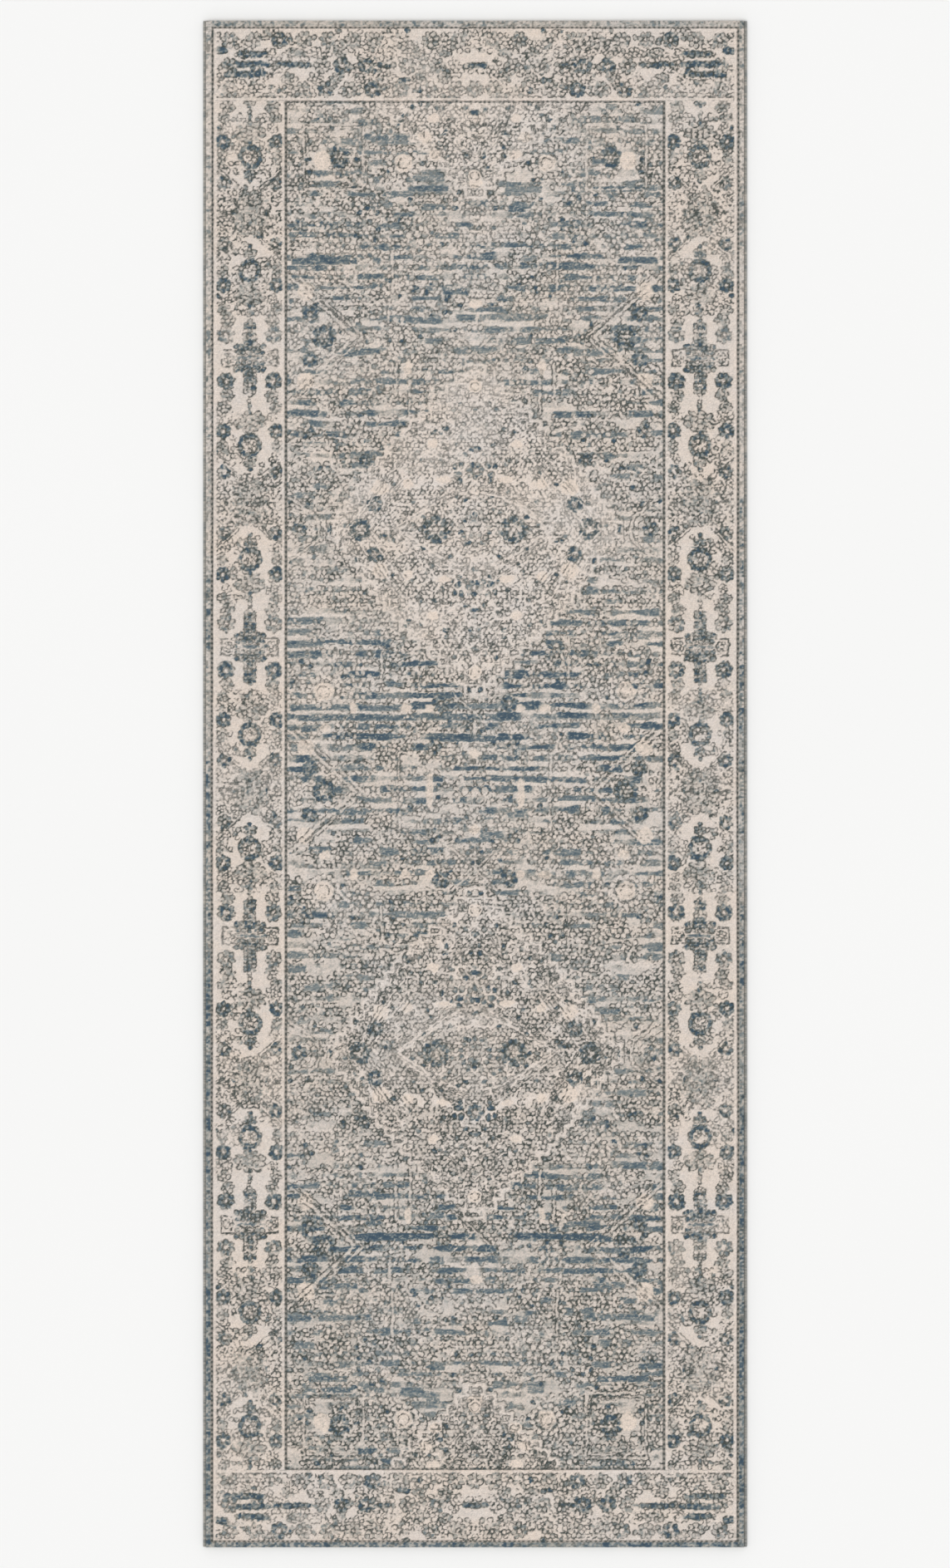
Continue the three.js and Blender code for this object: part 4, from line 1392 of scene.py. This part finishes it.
def make_overcast(side, node):
    """Yarn wound over the long edge: a sleeve in ribs, open on the inside where the cloth goes in."""
    low, high = node_box(node)
    cord_low, cord_high = node_box("edge_cord_" + node.rsplit("_", 1)[1])
    cord_x = (cord_low[0] + cord_high[0]) / 2
    cord_z = (cord_low[2] + cord_high[2]) / 2
    outer = high[2] - cord_z
    bore = (cord_high[2] - cord_low[2]) / 2 + GAP
    lip = abs(cord_x) - min(abs(low[0]), abs(high[0]))
    marks = np.linspace(low[1], high[1], int((high[1] - low[1]) / WRAP * WRAP_RINGS) + 1)
    turns = np.linspace(-np.pi / 2, np.pi / 2, 11)
    slack = np.random.default_rng(74 + int(side > 0)).random((len(marks) // WRAP_RINGS + 2, 2))
    wrap, part = np.divmod(np.arange(len(marks)), WRAP_RINGS)
    rib = np.where(part == 1, 1.0, np.where(part == 2, 0.62, 0.0)) * (0.8 + 0.4 * slack[wrap, 0])
    lift = 0.34 * (rib - 1)
    rings = []
    for y, rise in zip(marks, lift):
        radius = outer + rise
        arc = [(cord_x + side * radius * np.cos(t), cord_z + radius * np.sin(t)) for t in turns]
        over = [(cord_x - side * lip * part, cord_z + radius * (1 - 0.12 * part)) for part in (0.5, 1.0)]
        inside = [(cord_x - side * lip, cord_z + bore + 0.02), (cord_x, cord_z + bore)]
        bore_arc = [(cord_x + side * bore * np.cos(t), cord_z + bore * np.sin(t)) for t in turns[-3:0:-2]]
        under = [(x, 2 * cord_z - z) for x, z in (inside[::-1] + over[::-1])]
        loop = arc + over + inside + bore_arc + under
        if side < 0:
            loop = loop[::-1]
        slant = 0.10 * WRAP * np.array([(z - cord_z) / outer for _x, z in loop])
        shift = 0.0 if y in (marks[0], marks[-1]) else 1.0
        rings.append([(x, y + shift * s, z) for (x, z), s in zip(loop, slant)])
    piece = tube(node.replace("overcast_edge", "wound_yarn"), np.array(rings)[::-1])
    return finish_piece(piece, cloth_of("overcast_yarn"), node)


def make_cord(node):
    """The cord in a long edge: three strands twisted together."""
    low, high = node_box(node)
    x0, z0 = (low[0] + high[0]) / 2, (low[2] + high[2]) / 2
    radius = (high[0] - low[0]) / 2
    marks = np.linspace(low[1], high[1], int((high[1] - low[1]) / 1.6))
    around = np.linspace(0, 2 * np.pi, 12, endpoint=False)
    twist = marks[:, None] * 2 * np.pi / 14
    r = radius * (0.86 + 0.14 * np.abs(np.cos(1.5 * (around[None, :] - twist))))
    along = np.repeat(marks[:, None], len(around), 1)
    rings = np.stack([x0 + r * np.cos(around), along, z0 + r * np.sin(around)], -1)
    return finish_piece(tube(node + "_twist", rings[::-1]), cloth_of("edge_cord"), node)


HERRINGBONE = 6.4  # width of the tape's zigzag, there and back
TWILL = 2.6  # spacing of its ribs


def make_tape(node):
    """The tape under an end, with its herringbone in relief."""
    low, high = node_box(node)
    xs, ys = steps(low[0], high[0], 1.6), steps(low[1], high[1], 1.3)
    x, y = np.meshgrid(xs, ys)
    zig = np.abs((x / HERRINGBONE) % 1 - 0.5) * HERRINGBONE
    twill = np.abs(((y + zig) / TWILL) % 1 - 0.5) * 2
    piece = slab(node + "_woven", xs, ys, low[2] + 0.10 * twill, high[2] - 0.06 * twill)
    return finish_piece(piece, cloth_of("tape"), node)


STITCH = 4.2  # about the length of a stitch
STITCH_GAP = 0.9
TACK_STITCHES = 26
FINE_THREAD = 0.36  # its diameter, in the tacks and the label's seam


def stitch_row(start, end, z, rise):
    """Stitches along a straight seam."""
    start, end = np.array(start, float), np.array(end, float)
    length = np.hypot(*(end - start))
    count = max(1, int((length + STITCH_GAP) / (STITCH + STITCH_GAP)))
    pitch = (length + STITCH_GAP) / count
    way = (end - start) / length
    runs = []
    for k in range(count):
        a = start + way * k * pitch
        runs.append((a, a + way * (pitch - STITCH_GAP), z, rise))
    return runs


def make_stitching():
    """The rows through both tapes, the bar tacks over their ends, and the label's seam."""
    thread = cloth_of("thread")
    for place in ("top_outer", "top_inner", "bottom_outer", "bottom_inner"):
        node = "end_stitching_" + place
        low, high = node_box(node)
        y, width = (low[1] + high[1]) / 2, high[1] - low[1]
        runs = stitch_row((low[0] + 0.4, y), (high[0] - 0.4, y), low[2] + width / 2 + 0.02, 0.12)
        finish_piece(stitches(node + "_thread", runs, width), thread, node)
    for place in ("top_left", "top_right", "bottom_left", "bottom_right"):
        node = "corner_tack_" + place
        low, high = node_box(node)
        runs = []
        for k in range(TACK_STITCHES):
            y = low[1] + 0.3 + (high[1] - low[1] - 0.6) * k / (TACK_STITCHES - 1)
            runs.append(((low[0] + 0.1, y - 0.2), (high[0] - 0.1, y + 0.2), low[2] + 0.2, 0.1))
        finish_piece(stitches(node + "_thread", runs, FINE_THREAD), thread, node)
    node = "care_label_stitching"
    low, high = node_box(node)
    a, b = low[:2] + 0.2, high[:2] - 0.2
    corners = [(a[0], a[1]), (b[0], a[1]), (b[0], b[1]), (a[0], b[1]), (a[0], a[1])]
    runs = []
    for p, q in zip(corners[:-1], corners[1:]):
        runs += stitch_row(p, q, low[2] + 0.2, 0.1)
    finish_piece(stitches(node + "_thread", runs, FINE_THREAD), thread, node)


def make_label():
    """The blank care label, a soft little piece with a slight wave."""
    low, high = node_box("care_label")
    xs, ys = steps(low[0], high[0], 1.5), steps(low[1], high[1], 1.5)
    x, y = np.meshgrid(xs, ys)
    wave = 0.05 * np.sin(x / 6.0) * np.cos(y / 7.0)
    piece = slab("care_label_cloth", xs, ys, low[2] + 0.06 + wave, high[2] - 0.02 + wave * 0.3)
    return finish_piece(piece, cloth_of("label"), "care_label")


# ------------------------------------------------------------------ the studio
VIEW_LENGTH = 1.02666  # how much of the floor the picture shows lengthways, in rug lengths


def make_camera():
    """Straight above the rug with a long lens, its far end at the top of the picture."""
    data = bpy.data.cameras.new("camera")
    data.lens = 85
    data.sensor_fit = "VERTICAL"
    data.sensor_height = 36
    data.sensor_width = 36
    rug_length = CAD_BOX[1][1] - CAD_BOX[0][1]
    seen_length = rug_length * VIEW_LENGTH
    camera = bpy.data.objects.new("camera", data)
    camera.location = (0, 0, CAD_BOX[1][2] + seen_length * data.lens / data.sensor_height)
    camera.rotation_euler = (0, 0, 0)
    bpy.context.scene.collection.objects.link(camera)
    bpy.context.scene.camera = camera


def make_studio():
    """A white studio: its light all round, one soft lamp and the floor."""
    scene = bpy.context.scene
    scene.view_settings.view_transform = "Standard"
    scene.view_settings.look = "None"
    world = bpy.data.worlds.new("studio")
    scene.world = world
    world.use_nodes = True
    # the light all round, as bright as the floor low down and softer overhead
    nodes, links = world.node_tree.nodes, world.node_tree.links
    way = nodes.new("ShaderNodeTexCoord")
    apart = nodes.new("ShaderNodeSeparateXYZ")
    fall = nodes.new("ShaderNodeMapRange")
    for socket, number in (("From Min", 0.40), ("From Max", 0.75), ("To Min", 0.935), ("To Max", 0.66)):
        fall.inputs[socket].default_value = number
    links.new(way.outputs["Generated"], apart.inputs[0])
    links.new(apart.outputs["Z"], fall.inputs["Value"])
    links.new(fall.outputs[0], nodes["Background"].inputs["Strength"])
    nodes["Background"].inputs["Color"].default_value = (1.0, 1.0, 1.0, 1)
    sun = bpy.data.lights.new("softbox", "SUN")
    sun.energy = 0.90
    sun.angle = 0.6
    lamp = bpy.data.objects.new("softbox", sun)
    lamp.rotation_euler = (0.35, -0.35, 0)
    scene.collection.objects.link(lamp)
    size, low = 12000.0, -0.6
    lines = np.linspace(-size, size, 9)
    x, y = np.meshgrid(lines, lines)
    points = np.stack([x, y, np.full(x.shape, low)], -1).reshape(-1, 3)
    floor = new_object("floor", points, [grid_quads(np.arange(x.size).reshape(x.shape))])
    floor.data.materials.append(studio_floor("floor"))


def main():
    """Builds everything, and gives the ground weave, the other meshes and the cloth's flat size."""
    make_camera()
    make_pile()
    ground = make_ground()
    make_overcast(-1, "overcast_edge_left")
    make_overcast(1, "overcast_edge_right")
    for side in ("left", "right"):
        make_cord("edge_cord_" + side)
    for end in ("top", "bottom"):
        make_tape("end_tape_" + end)
    make_stitching()
    make_label()
    make_studio()
    low, high = node_box("ground_weave")
    others = [o for o in bpy.context.scene.objects if o.type == "MESH" and o.visible_get()]
    others = [o for o in others if o.name != "floor" and o is not ground and not o.name.startswith("body")]
    flat = (high[0] - low[0]) * MM, (high[1] - low[1]) * MM
    return ground, others, flat


ground, others, flat = main()
